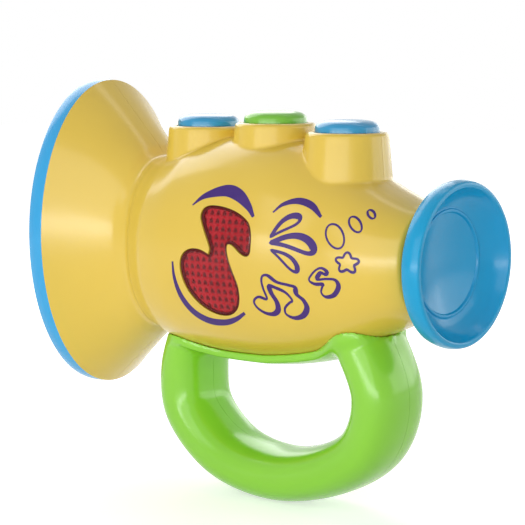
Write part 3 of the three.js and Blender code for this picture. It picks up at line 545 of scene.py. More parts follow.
# %% Pushed and turned forms
# Where the two flat coordinates and the place along each axis go
axis_orders = {"x": (2, 0, 1), "y": (0, 2, 1), "z": (0, 1, 2)}


def pushed(name, outline, low, high, axis, material):
    """A flat outline pushed through from low to high along an axis."""
    flat = np.asarray(outline, float)
    rings = [np.column_stack([flat, np.full(len(flat), at)])[:, axis_orders[axis]] for at in (low, high)]
    return add_mesh(name, np.vstack(rings), ring_faces(2, len(flat)), material)


def turned(name, profile, axis, at, material, sides=96):
    """A profile of (radius, place) pairs turned about an axis through a point."""
    turns = np.linspace(0, 2 * math.pi, sides, endpoint=False)
    radius, along = np.array(profile, float).T
    around = radius[:, None] * np.cos(turns), radius[:, None] * np.sin(turns)
    straight = np.repeat(along[:, None], sides, axis=1)
    points = np.stack([*around, straight], axis=-1)[..., axis_orders[axis]].reshape(-1, 3)
    return add_mesh(name, points + np.asarray(at, float), ring_faces(len(profile), sides), material)


# %% Rounded corners
def softened(corners, steps=5):
    """A profile of (radius, place, rounding) corners with each corner rounded to an arc."""
    made = []
    for i, (r, at, rounding) in enumerate(corners):
        here = np.array([r, at], float)
        if rounding == 0 or i in (0, len(corners) - 1):
            made.append(here)
            continue
        before, after = (np.array(corners[j][:2], float) - here for j in (i - 1, i + 1))
        before, after = before / np.linalg.norm(before), after / np.linalg.norm(after)
        half = math.acos(np.clip(before @ after, -1, 1)) / 2
        reach = rounding / math.tan(half)
        middle = here + (before + after) / np.linalg.norm(before + after) * rounding / math.sin(half)
        start, end = here + before * reach - middle, here + after * reach - middle
        first = math.atan2(start[1], start[0])
        swing = (math.atan2(end[1], end[0]) - first + math.pi) % (2 * math.pi) - math.pi
        for k in range(steps + 1):
            angle = first + swing * k / steps
            made.append(middle + rounding * np.array([math.cos(angle), math.sin(angle)]))
    return made


# %% [markdown]
# ## The two halves of the horn
# The real horn is two injection mouldings that meet on a seam down the middle, with posts inside for
# the screws. One field holds the whole of it: the oval skin, the three drafted bosses under the keys,
# the hollow inside, the bulkhead behind the bell and the posts. We mesh it once, saw it in two at the
# seam, and then cut what a mould would shut off: the key bores, the lens window and the rear door.

# %% Bosses under the keys
key_radius = 13.5
key_clearance = 0.5
boss_radius = 17.3
boss_draft = 0.09
boss_height = 24.0
boss_edge = 1.6
boss_roof = 2.2
boss_fillet = 0.7
key_rise = 5.2
key_nodes = ["key_bell_side", "key_middle", "key_mouth_side"]
boss_tops = [node_mm(node)[1][2] - key_rise for node in key_nodes]
bosses = list(zip([middle_mm(node)[0] for node in key_nodes], boss_tops))


def boss_field(x, y, z, key_x, top):
    """A round boss that grows wider downward, with a rounded edge at its top."""
    drafted = axis_distance(x, y, (key_x, 0)) - boss_radius - boss_draft * (top - z)
    side = drafted / math.sqrt(1 + boss_draft**2)
    return np.maximum(rounded(side, z - top, boss_edge), top - boss_height - z)


def outer_field(x, y, z):
    """The horn with its bosses, as one closed form."""
    made = horn_field(x, y, z)
    for key_x, top in bosses:
        made = filleted(made, boss_field(x, y, z, key_x, top), boss_fillet)
    return made


print("bosses at and up to", np.round(bosses, 1).tolist())

# %% Hollows, bulkhead and posts
throat_thickness = 2.0
throat_x = neck_x - throat_thickness / 2
speaker_hole_radius = 19.5
post_radius = 4.6
screw_seat = 6.0
cell_row = 19.5
end_edge = 1.3
spigot_radius = 18.0
room_edge = 0.6
overrun = 1.5
shell_screws = [middle_mm(f"shell_screw_{i}")[[0, 2]] for i in range(1, 6)]


def hollow_field(x, y, z):
    """The bell's bowl and the barrel's room, which the bulkhead parts."""
    inner = horn_field(x, y, z) + wall
    bowl = np.maximum(inner, x - throat_x)
    room = rounded(inner, np.maximum(throat_x + throat_thickness - x, x - end_x + wall), room_edge)
    for key_x, top in bosses:
        well = axis_distance(x, y, (key_x, 0)) - boss_radius + wall
        well = np.maximum(well, np.maximum(z - top + boss_roof, top - boss_height - z))
        room = np.minimum(room, well)
    return np.minimum(bowl, room)


def shell_field(x, y, z):
    """The whole moulding, before it is sawn at the seam."""
    outer = rounded(outer_field(x, y, z), x - end_x, end_edge)
    made = np.maximum(outer, -hollow_field(x, y, z))
    for at in shell_screws:
        post = axis_distance(x, z, at) - post_radius
        made = np.minimum(made, np.maximum(post, outer + wall / 2))
    return np.maximum(made, rim_x - overrun - x)


# %% Mesh the horn
shell_voxel = 0.8
shell_low = (rim_x - 4, -bell_half_width - 3, -bell_half_height - 3)
shell_high = (end_x + 2, bell_half_width + 3, bell_half_height + 3)
front_shell = add_skin("front_shell_skin", shell_field, shell_low, shell_high, shell_voxel, yellow_plastic)
print("shell quads:", len(front_shell.data.polygons))

# %% Tools to cut with
seam_gap = 0.12
far = 200.0


def box_tool(low, high):
    """A plain block, only ever used to cut with."""
    corners = [(low[0], low[1]), (high[0], low[1]), (high[0], high[1]), (low[0], high[1])]
    return pushed("tool", corners, low[2], high[2], "z", yellow_plastic)


def round_tool(radius, low, high, axis, at=(0, 0, 0), sides=96):
    """A plain cylinder to cut with."""
    profile = [(0, low), (radius, low), (radius, high), (0, high)]
    return turned("tool", profile, axis, at, yellow_plastic, sides)


def sawn(front, rear_name):
    """Leaves the front half of a moulding and gives back its rear half."""
    rear = copy_of(front, rear_name)
    carve(front, [box_tool((-far, -far, -far), (far, -seam_gap / 2, far))], "INTERSECT")
    carve(rear, [box_tool((-far, seam_gap / 2, -far), (far, far, far))], "INTERSECT")
    return rear


# %% Bore it and saw it at the seam
bore_radius = key_radius + key_clearance
carve(front_shell, [
    round_tool(bore_radius, top - boss_height, top + 9, "z", (key_x, 0, 0)) for key_x, top in bosses
])
carve(front_shell, [
    round_tool(speaker_hole_radius, throat_x - 4, throat_x + 6, "x"),
    round_tool(spigot_radius + gap, end_x - 6, end_x + 4, "x"),
    box_tool((-far, -far, -far), (rim_x, far, far)),
])
rear_shell = sawn(front_shell, "rear_shell_skin")
print("halves:", len(front_shell.data.polygons), len(rear_shell.data.polygons))

# %% A tongue behind the seam
tongue_half_width = 0.4
tongue_sink = 0.7
opening_radius = speaker_hole_radius + tongue_sink


def tongue_of(body, x, y, z):
    """A thin blade inside a moulding, which bridges its seam."""
    return np.maximum(body(x, y, z) + tongue_sink, np.abs(y) - tongue_half_width)


def shell_tongue_field(x, y, z):
    """The blade in the horn's walls, clear of the posts, the key bores and the round openings."""
    made = np.maximum(tongue_of(shell_field, x, y, z), opening_radius - axis_distance(y, z))
    for at in shell_screws:
        made = np.maximum(made, post_radius + tongue_sink - axis_distance(x, z, at))
    for key_x, top in bosses:
        bore = bore_radius + tongue_sink - axis_distance(x, y, (key_x, 0))
        made = np.maximum(made, np.minimum(bore, z - top + boss_height))
    return made


blade_voxel = 0.5
blade_reach = 2.0
blade_low = (rim_x, -blade_reach, shell_low[2])
blade_high = (end_x + 2, blade_reach, shell_high[2])
tongue = add_skin(
    "shell_seam_tongue", shell_tongue_field, blade_low, blade_high, blade_voxel, yellow_plastic,
)
finish_piece(tongue, "horn", "yellow_plastic", "front_shell")

# %% The note's outline
note_x, note_z = -21.6, -26.3
note_width, note_height = 37.0, 46.0
window_gap = 0.3
# The note's outline as shares of its width and height: where it starts, then Bezier stretches
note_start_share = (0.445, 0.615)
note_shares = [
    ((0.41, 0.7), (0.335, 0.8), (0.295, 0.88)),
    ((0.27, 0.97), (0.35, 1), (0.45, 1)),
    ((0.65, 1), (0.85, 0.95), (0.95, 0.87)),
    ((1.01, 0.8), (1, 0.7), (0.99, 0.62)),
    ((0.97, 0.55), (0.89, 0.57), (0.82, 0.62)),
    ((0.73, 0.69), (0.66, 0.7), (0.672, 0.61)),
    ((0.69, 0.5), (0.765, 0.4), (0.8, 0.3)),
    ((0.84, 0.13), (0.72, 0), (0.52, 0)),
    ((0.3, 0), (0.1, 0.14), (0.03, 0.3)),
    ((-0.05, 0.48), (0.02, 0.6), (0.24, 0.6)),
    ((0.32, 0.6), (0.39, 0.57), (0.425, 0.555)),
    ((0.432, 0.575), (0.438, 0.595), note_start_share),
]

# %% Smooth and grown outlines
def bezier_path(start, stretches, steps=14):
    """Points along Bezier stretches, without the last point of a closed path."""
    made = []
    here = np.array(start, float)
    for first, second, end in stretches:
        first, second, end = (np.array(p, float) for p in (first, second, end))
        for t in np.arange(steps) / steps:
            u = 1 - t
            made.append(u**3 * here + 3 * u**2 * t * first + 3 * u * t**2 * second + t**3 * end)
        here = end
    return np.array(made)


def outward(outline):
    """Unit vectors out of a closed outline, one for each point."""
    along = np.roll(outline, -1, axis=0) - np.roll(outline, 1, axis=0)
    along /= np.linalg.norm(along, axis=1)[:, None]
    x, z = outline.T
    turn = np.sign(np.sum(x * np.roll(z, -1) - np.roll(x, -1) * z))
    return turn * np.column_stack([along[:, 1], -along[:, 0]])


def grown(outline, distance):
    """A closed outline moved out by a distance."""
    return outline + distance * outward(outline)


# %% Cut the lens window
window_floor = -18.0
note_outline = bezier_path(note_start_share, note_shares) * [note_width, note_height] + [note_x, note_z]
window_tool = pushed("tool", grown(note_outline, window_gap), -far, window_floor, "y", yellow_plastic)
carve(front_shell, [window_tool])
print("note outline points:", len(note_outline))

# %% Sizes of the rear openings
screw_bore = 3.1
door_clearance = 0.4
door_corner = 3.0
switch_travel = 4.0
slot_half_length = 2.5
slot_half_height = 2.3
plate_thickness = 1.2
plate_room = 0.35
door_low, door_high = node_mm("battery_door")
knob_low, knob_high = node_mm("switch_knob")
knob_x = middle_mm("switch_knob")[0]
slot_corner = 0.8

# %% Openings in the rear half
def rounded_rectangle(low, high, corner, steps=8):
    """Corners of a plate with round corners, from its low to its high corner."""
    made = []
    for turn, (x_sign, z_sign) in enumerate(((1, 1), (-1, 1), (-1, -1), (1, -1))):
        x = (high if x_sign > 0 else low)[0] - corner * x_sign
        z = (high if z_sign > 0 else low)[1] - corner * z_sign
        for k in range(steps + 1):
            angle = (turn + k / steps) * math.pi / 2
            made.append((x + corner * math.cos(angle), z + corner * math.sin(angle)))
    return np.array(made)


opening = rounded_rectangle(
    door_low[[0, 2]] - door_clearance, door_high[[0, 2]] + door_clearance, door_corner + door_clearance,
)
slot = rounded_rectangle(
    (knob_x - slot_half_length, -slot_half_height),
    (knob_x + switch_travel + slot_half_length, slot_half_height),
    slot_corner,
)


def screw_tool(at):
    """The bore of a screw, down to the seat of its head."""
    return round_tool(screw_bore, screw_seat, far, "y", (at[0], 0, at[1]), 40)


plate_pocket = box_tool(
    (knob_low[0] - plate_room, cell_row, knob_low[2] - plate_room),
    (
        knob_high[0] + switch_travel + plate_room,
        knob_low[1] + plate_thickness + plate_room,
        knob_high[2] + plate_room,
    ),
)
for outline in (opening, slot):
    carve(rear_shell, [pushed("tool", outline, cell_row, far, "y", yellow_plastic)])
carve(rear_shell, [plate_pocket])
carve(rear_shell, [screw_tool(at) for at in shell_screws])
print("door opening", np.round(door_high - door_low, 1), "mm")

# %% Finish both halves
finish_piece(front_shell, "horn", "yellow_plastic", "front_shell")
finish_piece(rear_shell, "horn", "yellow_plastic", "rear_shell")

# %% [markdown]
# ## The ring on the rim
# A blue band carries the bell's flare on and covers its edge, so that a child never meets a thin rim.
# Its section is the same all the way round, so we sweep one closed profile round the oval. The profile
# is given by how far each point is drawn in from the rim's oval.

# %% The ring
rim_depth = 9.2
rim_swell = 0.5
rim_round = 2.0
rim_face = 4.3
rim_tongue = 4.6
rim_land = 3.4
rim_sides = 200
ring_front = rim_x - rim_depth
ring_back = rim_x - gap


def rim_oval(x, inset):
    """The bell's oval at x, drawn in by an inset; in front of the rim it keeps the rim's size."""
    turns = np.linspace(0, 2 * math.pi, rim_sides, endpoint=False)
    on_bell = max(x, rim_x)
    crown, belly, wide = (float(horn_size(on_bell, column)[0]) - inset for column in (1, 2, 3))
    high = np.where(np.cos(turns) > 0, crown, belly)
    return np.column_stack([np.full(rim_sides, x), wide * np.sin(turns), high * np.cos(turns)])


ring_middle = (ring_front + ring_back) / 2
ring_corners = [(at, inset) for inset, at in softened([
    (rim_land, ring_back, 0),
    (0.2, ring_back, 0.25),
    (-rim_swell, ring_middle, 14.0),
    (0.1, ring_front, rim_round),
    (rim_face + 1.3, ring_front, 1.3),
    (rim_face + 1.1, rim_x - 2.5, 1.5),
    (rim_face, rim_x + rim_tongue, 0.4),
    (wall + gap, rim_x + rim_tongue, 0.3),
    (wall + gap, rim_x + 0.4, 0.2),
    (rim_land, ring_back, 0),
], 7)[:-1]]
ring_points = np.vstack([rim_oval(at, inset) for at, inset in ring_corners])
bell_ring = add_mesh(
    "bell_ring_band", ring_points, ring_faces(len(ring_corners), rim_sides, True), ring_blue_plastic,
)
finish_piece(bell_ring, "horn", "blue_plastic", "bell_ring")

# %% [markdown]
# ## The mouthpiece cup
# The cup is turned: a dish with a rounded lip, a bead round a well, and a plain back that tapers to
# the barrel. One profile turned about the horn's axis makes all of it.

# %% The cup
lip_radius = 33.4
lip_inner = 30.7
lip_band = 8.0
lip_swell = 0.5
cup_depth = 12.4
cup_length = 16.7
well_radius = 21.8
well_depth = 3.7
well_edge = 0.6
well_bead = 0.5
well_steps = 12
neck_radius = 22.4
spigot_length = 10.0
spigot_bore = 15.6
floor_thickness = 2.2
cup_lip = end_x + cup_length
cup_floor = cup_lip - cup_depth
shoulder = end_x + gap
well_brim = cup_floor + well_depth
dish_radius = well_radius - 2.0
dish_depth = well_depth - well_edge
well_dish = [(dish_radius * s, cup_floor + dish_depth * s**2) for s in np.linspace(0, 1, well_steps)]
cup = turned("mouthpiece_cup_body", well_dish + softened([
    (dish_radius, cup_floor + dish_depth, 0),
    (well_radius - 1.6, cup_floor + dish_depth + 0.1, 0.3),
    (well_radius - 1.1, well_brim + well_bead, 0.4),
    (well_radius - 0.2, well_brim + well_bead, 0.4),
    (well_radius + 0.2, well_brim - 0.1, 0.3),
    (well_radius + 0.8, well_brim - 0.1, 0.4),
    (well_radius + 5.6, cup_lip - 6.2, 14.0),
    (lip_inner - 0.5, cup_lip - 1.5, 0.7),
    (lip_inner + 0.2, cup_lip, 1.0),
    (lip_radius - 0.4, cup_lip - 0.1, 1.2),
    (lip_radius + lip_swell, cup_lip - lip_band / 2, 9.0),
    (lip_radius - 0.7, cup_lip - lip_band, 1.4),
    (lip_radius - 2.8, cup_lip - lip_band - 1.4, 1.5),
    (neck_radius + 0.4, shoulder + 1.6, 4.0),
    (neck_radius - 1.1, shoulder, 0.6),
    (spigot_radius, shoulder, 0.3),
    (spigot_radius, shoulder - spigot_length, 0.5),
    (spigot_bore, shoulder - spigot_length, 0.5),
    (spigot_bore, cup_floor - floor_thickness, 0.8),
    (0, cup_floor - floor_thickness, 0),
], 8), "x", (0, 0, 0), cup_blue_plastic, 160)
finish_piece(cup, "horn", "blue_plastic", "mouthpiece_cup")

# %% [markdown]
# ## The keys
# A key is a shallow pancake with a rounded edge, a flange that keeps it in its bore and a plunger
# under it. Each key rides on its own body, so it sinks when its joint moves.

# %% A smooth line through places
def smooth_line(places, steps=40):
    """A Catmull-Rom curve through the places."""
    p = np.vstack([2 * places[0] - places[1], places, 2 * places[-1] - places[-2]])
    made = []
    for a, b, c, d in zip(p, p[1:], p[2:], p[3:]):
        for t in np.arange(steps) / steps:
            bend = a - 2.5 * b + 2 * c - d / 2
            twist = 1.5 * (b - c) + (d - a) / 2
            made.append(b + t * (c - a) / 2 + t**2 * bend + t**3 * twist)
    return np.array(made + [places[-1]])


# %% Keys
plunger_radius = 4.0
flange_radius = key_radius + 1.1
flange_thickness = 1.5
key_bore = key_radius - 2
# A key's crown as shares of its radius outward and of its rise downward
key_crown_shares = [(0, 0), (0.25, 0.01), (0.5, 0.04), (0.76, 0.14), (0.91, 0.32), (0.985, 0.56), (1, 0.8)]
key_crown = smooth_line(np.array(key_crown_shares), 6) * [key_radius, -key_rise]
key_finishes = [
    (key_blue_plastic, "blue_plastic"),
    (key_green_plastic, "green_plastic"),
    (key_blue_plastic, "blue_plastic"),
]
for node, (key_x, boss_top), (material, slot_name) in zip(key_nodes, bosses, key_finishes):
    top = boss_top + key_rise
    under = boss_top - boss_roof - gap
    foot = node_mm(node)[0][2]
    key = turned(f"{node}_cap", [(r, top + down) for r, down in key_crown] + softened([
        (key_radius, boss_top, 0),
        (key_radius, under, 0.3),
        (flange_radius, under, 0.2),
        (flange_radius, under - flange_thickness, 0.2),
        (key_bore, under - flange_thickness, 0.2),
        (key_bore, top - 4.9, 0.8),
        (plunger_radius, top - 4.0, 0.5),
        (plunger_radius, foot, 0.4),
        (0, foot, 0),
    ], 7), "z", (key_x, 0, 0), material, 120)
    finish_piece(key, node, slot_name, node)

# %% [markdown]
# ## The ring handle
# The handle is an oval tube bent into a ring that ends in two legs under the barrel. A thin saddle
# joins the legs and hugs the belly. Tube, saddle and fillets are again one field: the ring's centre
# line lies in one plane, so the distance from it is a flat map that we work out once.

# %% The ring's centre line
grip_half_thickness = 11.4
grip_half_depth = 17.6
grip_power = 2.4
grip_drop = 98.5
grip_end_margin = 18.75
grip_shift = 2.95
grip_half_span = barrel_length / 2 - grip_end_margin
grip_x = neck_x + barrel_length / 2 - grip_shift
# Shares of the half span and the drop
grip_shares = [
    (-0.8, 0.24), (-0.885, 0.381), (-0.978, 0.58), (-0.919, 0.782), (-0.547, 0.951), (-0.011, 1),
    (0.519, 0.933), (0.89, 0.794), (1, 0.572), (0.806, 0.331), (0.68, 0.2),
]
grip_line = smooth_line(np.array([(grip_x + grip_half_span * s, -grip_drop * d) for s, d in grip_shares]))
print("centre line:", round(float(np.linalg.norm(np.diff(grip_line, axis=0), axis=1).sum())), "mm")

# %% How far every place is from the centre line
map_step = 0.5
map_reach = 24.0
map_top = -8.0
map_x = np.arange(grip_x - grip_half_span - map_reach, grip_x + grip_half_span + map_reach, map_step)
map_z = np.arange(-grip_drop - map_reach, map_top, map_step)


def line_distance(line, x, z):
    """The least distance from a line of straight steps, seen flat."""
    best = np.full(np.broadcast(x, z).shape, 1e9)
    for start, step in zip(line, np.diff(line, axis=0)):
        off_x, off_z = x - start[0], z - start[1]
        t = np.clip((off_x * step[0] + off_z * step[1]) / (step @ step), 0, 1)
        best = np.minimum(best, (off_x - t * step[0]) ** 2 + (off_z - t * step[1]) ** 2)
    return np.sqrt(best)


distance_map = line_distance(grip_line, map_x[:, None], map_z)


def from_line(x, z):
    """The map read between its points."""
    i = np.clip((x - map_x[0]) / map_step, 0, len(map_x) - 1.001)
    k = np.clip((z - map_z[0]) / map_step, 0, len(map_z) - 1.001)
    i0, k0 = i.astype(int), k.astype(int)
    s, t = i - i0, k - k0
    low = distance_map[i0, k0] * (1 - s) + distance_map[i0 + 1, k0] * s
    high = distance_map[i0, k0 + 1] * (1 - s) + distance_map[i0 + 1, k0 + 1] * s
    return low * (1 - t) + high * t


print("map:", distance_map.shape)

# %% Sizes of the tube and the saddle
saddle_shares = (-0.84, 0.82)
saddle_thickness = 3.0
saddle_waist = 12.5
saddle_skirt = 1.6
saddle_flare = 22.0
saddle_fillet = 2.6
saddle_seat = 0.15
thin_by = 1.8
thin_from = 64.0
thin_over = 26.0
handle_top = -belly_depth / 3
handle_voxel = 0.8
saddle_x = [grip_x + grip_half_span * share for share in saddle_shares]

# %% The tube's field
def tube_field(x, y, z):
    """The bent oval tube, a little thinner where its bell-side leg meets the barrel."""
    near_top = np.clip((z + thin_from) / thin_over, 0, 1) * (x < grip_x)
    half_thickness = grip_half_thickness - thin_by * near_top * near_top * (3 - 2 * near_top)
    from_axis = from_line(x, z)
    thick, deep = from_axis / half_thickness, np.abs(y) / grip_half_depth
    reach = np.maximum(thick**grip_power + deep**grip_power, 1e-4)
    size = np.sqrt(from_axis**2 + y * y)
    return size * (1 - reach ** (-1 / grip_power))


# %% The saddle's field
def saddle_field(x, y, z):
    """A skin under the belly, wide round each leg and narrow between them."""
    widest = grip_half_depth + saddle_skirt
    middle = (saddle_x[0] + saddle_x[1]) / 2
    half_length = (saddle_x[1] - saddle_x[0]) / 2 + grip_half_thickness
    from_middle = np.abs(x - middle)
    past_leg = np.clip((from_middle - half_length + grip_half_thickness) / grip_half_thickness, 0, 1)
    before_leg = np.clip((half_length - grip_half_thickness - from_middle) / saddle_flare, 0, 1)
    round_end = widest * (1 - past_leg**grip_power) ** (1 / grip_power)
    waist = saddle_waist + (widest - saddle_waist) * (1 + np.cos(math.pi * before_leg)) / 2
    half_width = np.where(from_middle > half_length - grip_half_thickness, round_end, waist)
    edge = np.maximum(np.abs(y) - half_width, from_middle - half_length)
    skin = horn_field(x, y, z) - gap - saddle_thickness
    return np.maximum(rounded(edge, skin, 1.0), z - handle_top)


def handle_field(x, y, z):
    """Tube and saddle as one moulding that sits on the horn's belly."""
    tube = np.maximum(tube_field(x, y, z), z - handle_top)
    both = filleted(tube, saddle_field(x, y, z), saddle_fillet)
    return rounded(both, saddle_seat - horn_field(x, y, z), 0.8)


# %% The handle's two halves
handle_reach = grip_half_thickness + 2
handle_low = (grip_x - grip_half_span - handle_reach, -22.0, -grip_drop - handle_reach)
handle_high = (grip_x + grip_half_span + handle_reach, 22.0, -14.0)
handle_front = add_skin(
    "handle_front_skin", handle_field, handle_low, handle_high, handle_voxel, green_plastic,
)
handle_rear = sawn(handle_front, "handle_rear_skin")
handle_screws = [middle_mm(f"handle_screw_{i}")[[0, 2]] for i in range(1, 4)]
carve(handle_rear, [screw_tool(at) for at in handle_screws])
finish_piece(handle_front, "horn", "green_plastic", "handle_front_half")
finish_piece(handle_rear, "horn", "green_plastic", "handle_rear_half")


def handle_tongue_field(x, y, z):
    """The blade that bridges the handle's seam, clear of its screws."""
    made = tongue_of(handle_field, x, y, z)
    for at in handle_screws:
        made = np.maximum(made, post_radius - axis_distance(x, z, at))
    return made


handle_tongue = add_skin(
    "handle_seam_tongue", handle_tongue_field,
    (handle_low[0], -blade_reach, handle_low[2]), (handle_high[0], blade_reach, handle_high[2]),
    2 * blade_voxel, green_plastic,
)
finish_piece(handle_tongue, "horn", "green_plastic", "handle_front_half")

# %% [markdown]
# ## The lens
# The lens is see-through red plastic in the note-shaped window, and its back is moulded into rows of
# small cells that catch the light. Real see-through plastic costs render time and hides its cells in
# noise, so we split the job as a maker would see it: a sheet of real cells, and over it a clear cover
# that keeps the smooth outer skin. The cover is mostly transparent and carries the gloss.

# %% The sheet of cells
cell_width = 3.2
cell_rise = 3.3
cell_zigzag = 0.9
cell_depth = 0.55
cell_step = 0.28
cell_gap = 0.35
sheet_reach = 1.2
sheet_inset = 0.2
sheet_thickness = 1.2
cover_thickness = 0.8
lens_recess = 0.2

# %% Relief of the cells
def flat_distance(outline, x, z):
    """Signed distance from a closed outline, below zero inside it."""
    line = np.vstack([outline, outline[:1]])
    inside = np.zeros(np.broadcast(x, z).shape, bool)
    for (ax, az), (bx, bz) in zip(line, line[1:]):
        crosses = (az > z) != (bz > z)
        inside ^= crosses & (x < ax + (bx - ax) * (z - az) / ((bz - az) or 1e-9))
    return np.where(inside, -1, 1) * line_distance(line, x, z)


def cell_height(x, z):
    """Rows of pits, from 0 on the zigzag ridges between them down to 1 at the bottom of a pit."""
    across = np.cos(2 * math.pi * x / cell_width)
    up = np.cos(2 * math.pi * z / cell_rise - cell_zigzag * across)
    return (1 + across) * (1 + up) / 4


def sheet_points():
    """A grid behind the window, sunk where the pits are."""
    xs = np.arange(note_x - sheet_reach, note_x + note_width + sheet_reach, cell_step)
    zs = np.arange(note_z - sheet_reach, note_z + note_height + sheet_reach, cell_step)
    x, z = np.meshgrid(xs, zs, indexing="ij")
    sunk = lens_recess + cover_thickness + cell_gap + cell_depth * cell_height(x, z)
    return x, side_surface(x, z) + sunk, z


print("cells:", round(note_width / cell_width), "across")

# %% A grid with a back, as one closed sheet
def closed_sheet(x, y, z, thickness, keep):
    """Quads over a grid and its copy further back, only where keep says, closed along the edge."""
    rows, columns = x.shape
    front = np.stack([x, y, z], axis=-1).reshape(-1, 3)
    behind = front + [0, thickness, 0]
    index = np.arange(rows * columns).reshape(rows, columns)
    quads = np.stack([index[:-1, :-1], index[:-1, 1:], index[1:, 1:], index[1:, :-1]], axis=-1)
    quads = quads[keep[:-1, :-1] & keep[:-1, 1:] & keep[1:, 1:] & keep[1:, :-1]]
    edges = {(a, b): True for quad in quads for a, b in zip(quad, np.roll(quad, -1))}
    rim = [(a, b) for a, b in edges if (b, a) not in edges]
    count = rows * columns
    faces = [tuple(q) for q in quads] + [tuple(q[::-1] + count) for q in quads]
    faces += [(b, a, a + count, b + count) for a, b in rim]
    used = np.unique(np.concatenate([np.array(face) for face in faces]))
    renumber = {old: new for new, old in enumerate(used)}
    return np.vstack([front, behind])[used], [tuple(renumber[i] for i in face) for face in faces]


# %% The cells' colour, with painted shade in the pits
def lens_cells_with_painted_shade():
    """Bright red ridges, and pits painted dark red as shade, by the same waves as the sheet's relief."""
    material, tree = new_material("lens_cells_painted_shade")
    place = add_node(tree, "ShaderNodeTexCoord", {}).outputs["Object"]
    moved = add_node(tree, "ShaderNodeVectorMath", {0: place, 1: tuple(centre)}, operation="SUBTRACT")
    turns = []
    for way, length in (((1, 0, 0), cell_width), ((0, 0, 1), cell_rise)):
        waves = [share * 2 * math.pi / (length * mm) for share in way]
        turned_by = {0: moved.outputs[0], 1: waves}
        made = add_node(tree, "ShaderNodeVectorMath", turned_by, operation="DOT_PRODUCT")
        turns.append(made.outputs["Value"])
    across = maths(tree, "COSINE", turns[0])
    up = maths(tree, "COSINE", maths(tree, "MULTIPLY_ADD", across, -cell_zigzag, turns[1]))
    in_column, in_row = (spread(tree, wave, -1.0, 1.0, 0.0, 1.0) for wave in (across, up))
    # Painted shade: the pits are coloured dark by their depth; the same mask makes them a little rougher.
    pit_shade_mask = spread(tree, maths(tree, "MULTIPLY", in_column, in_row), 0.08, 0.55, 0.0, 1.0)
    uneven = spread(tree, noise(tree, 70.0), 0.35, 0.65, 0.0, 1.0)
    ridge = mixed(tree, uneven, linear("#E42232"), linear("#C81020"))
    surface(tree, {
        "Base Color": mixed(tree, pit_shade_mask, ridge, linear("#5A040C")),
        "Roughness": spread(tree, pit_shade_mask, 0.0, 1.0, 0.35, 0.5),
        "IOR": 1.2,
    })
    return material


# %% The clear cover's finish
def lens_cover_finish():
    """A clear red skin: mostly transparent, with the gloss of polished acrylic."""
    material, tree = new_material("lens_cover")
    dulled = spread(tree, noise(tree, 60.0, 3.0), 0.4, 0.7, 0.04, 0.09)
    surface(tree, {"Base Color": linear("#A01420"), "Roughness": dulled, "Alpha": 0.2, "IOR": 1.7})
    return material


# %% Put the sheet in place
lens_cells_painted_shade, lens_cover = lens_cells_with_painted_shade(), lens_cover_finish()
x, y, z = sheet_points()
inside = flat_distance(note_outline, x, z) < -sheet_inset
points, faces = closed_sheet(x, y, z, sheet_thickness, inside)
sheet = add_mesh("lens_cell_sheet", points, faces, lens_cells_painted_shade)
finish_piece(sheet, "horn", "red_lens", "lens")

# %% The lens's edge, a band of painted shade
edge_width = 1.1
edge_top = lens_recess + 0.25
edge_bottom = 1.5
# Painted shade: a dark red band along the outline stands in for the shaded side wall of the lens.
lens_edge_painted_shade = moulded_plastic("lens_edge_painted_shade", "#4E0808", "#3E0404", 0.3, ior=1.2)
within = grown(note_outline, -edge_width)
section = ((note_outline, edge_top), (within, edge_top), (within, edge_bottom), (note_outline, edge_bottom))
loops = [np.column_stack([line[:, 0], side_surface(*line.T) + sunk, line[:, 1]]) for line, sunk in section]
band_points = np.stack(loops, axis=1).reshape(-1, 3)
band_faces = ring_faces(len(note_outline), len(loops), True)
edge_shade_band = add_mesh("lens_edge_shade_band", band_points, band_faces, lens_edge_painted_shade)
finish_piece(edge_shade_band, "horn", "red_lens", "lens")

# %% The clear cover
lens_edge = 0.8
cover_voxel = 0.4
cover_back = -12.0


def cover_field(x, y, z):
    """A thin layer just under the horn's skin, inside the note's outline."""
    edge = flat_distance(note_outline, x, z)
    front = horn_field(x, y, z) + lens_recess
    made = np.maximum(rounded(edge, front, lens_edge), -front - cover_thickness)
    return np.maximum(made, y - cover_back)


cover_low = (note_x - 2, -barrel_half_width - 2, note_z - 2)
cover_high = (note_x + note_width + 2, -14.0, note_z + note_height + 2)
cover = add_skin("lens_cover_skin", cover_field, cover_low, cover_high, cover_voxel, lens_cover)
finish_piece(cover, "horn", "red_lens", "lens")

# %% [markdown]
# ## The printed figures
# Purple ink is pad-printed on the lens side: crescents round the lens, three drops, bubbles, a soft
# star, a pair of notes and a curl. All are drawn with one pen: a path, and a rule for how heavy the
# line is along it. The path is worked out flat, as the printing pad sees it, and every point then
# goes straight back onto the curved skin, which is just what the pad does.

# %% A pen for the figures
ink_height = 0.07
ink_depth = 0.1
pen_rows = 5
pen_step = 0.5


def even_steps(path, closed):
    """The same path with evenly spaced points."""
    path = np.vstack([path, path[:1]]) if closed else np.asarray(path)
    run = np.concatenate([[0], np.cumsum(np.linalg.norm(np.diff(path, axis=0), axis=1))])
    count = max(int(run[-1] / pen_step), 12)
    at = np.linspace(0, run[-1], count + 1)[:-1 if closed else None]
    return np.column_stack([np.interp(at, run, path[:, k]) for k in (0, 1)])


def across_line(path):
    """Unit vectors across an open path, to its right."""
    along = np.gradient(path, axis=0)
    along /= np.linalg.norm(along, axis=1)[:, None]
    return np.column_stack([along[:, 1], -along[:, 0]])


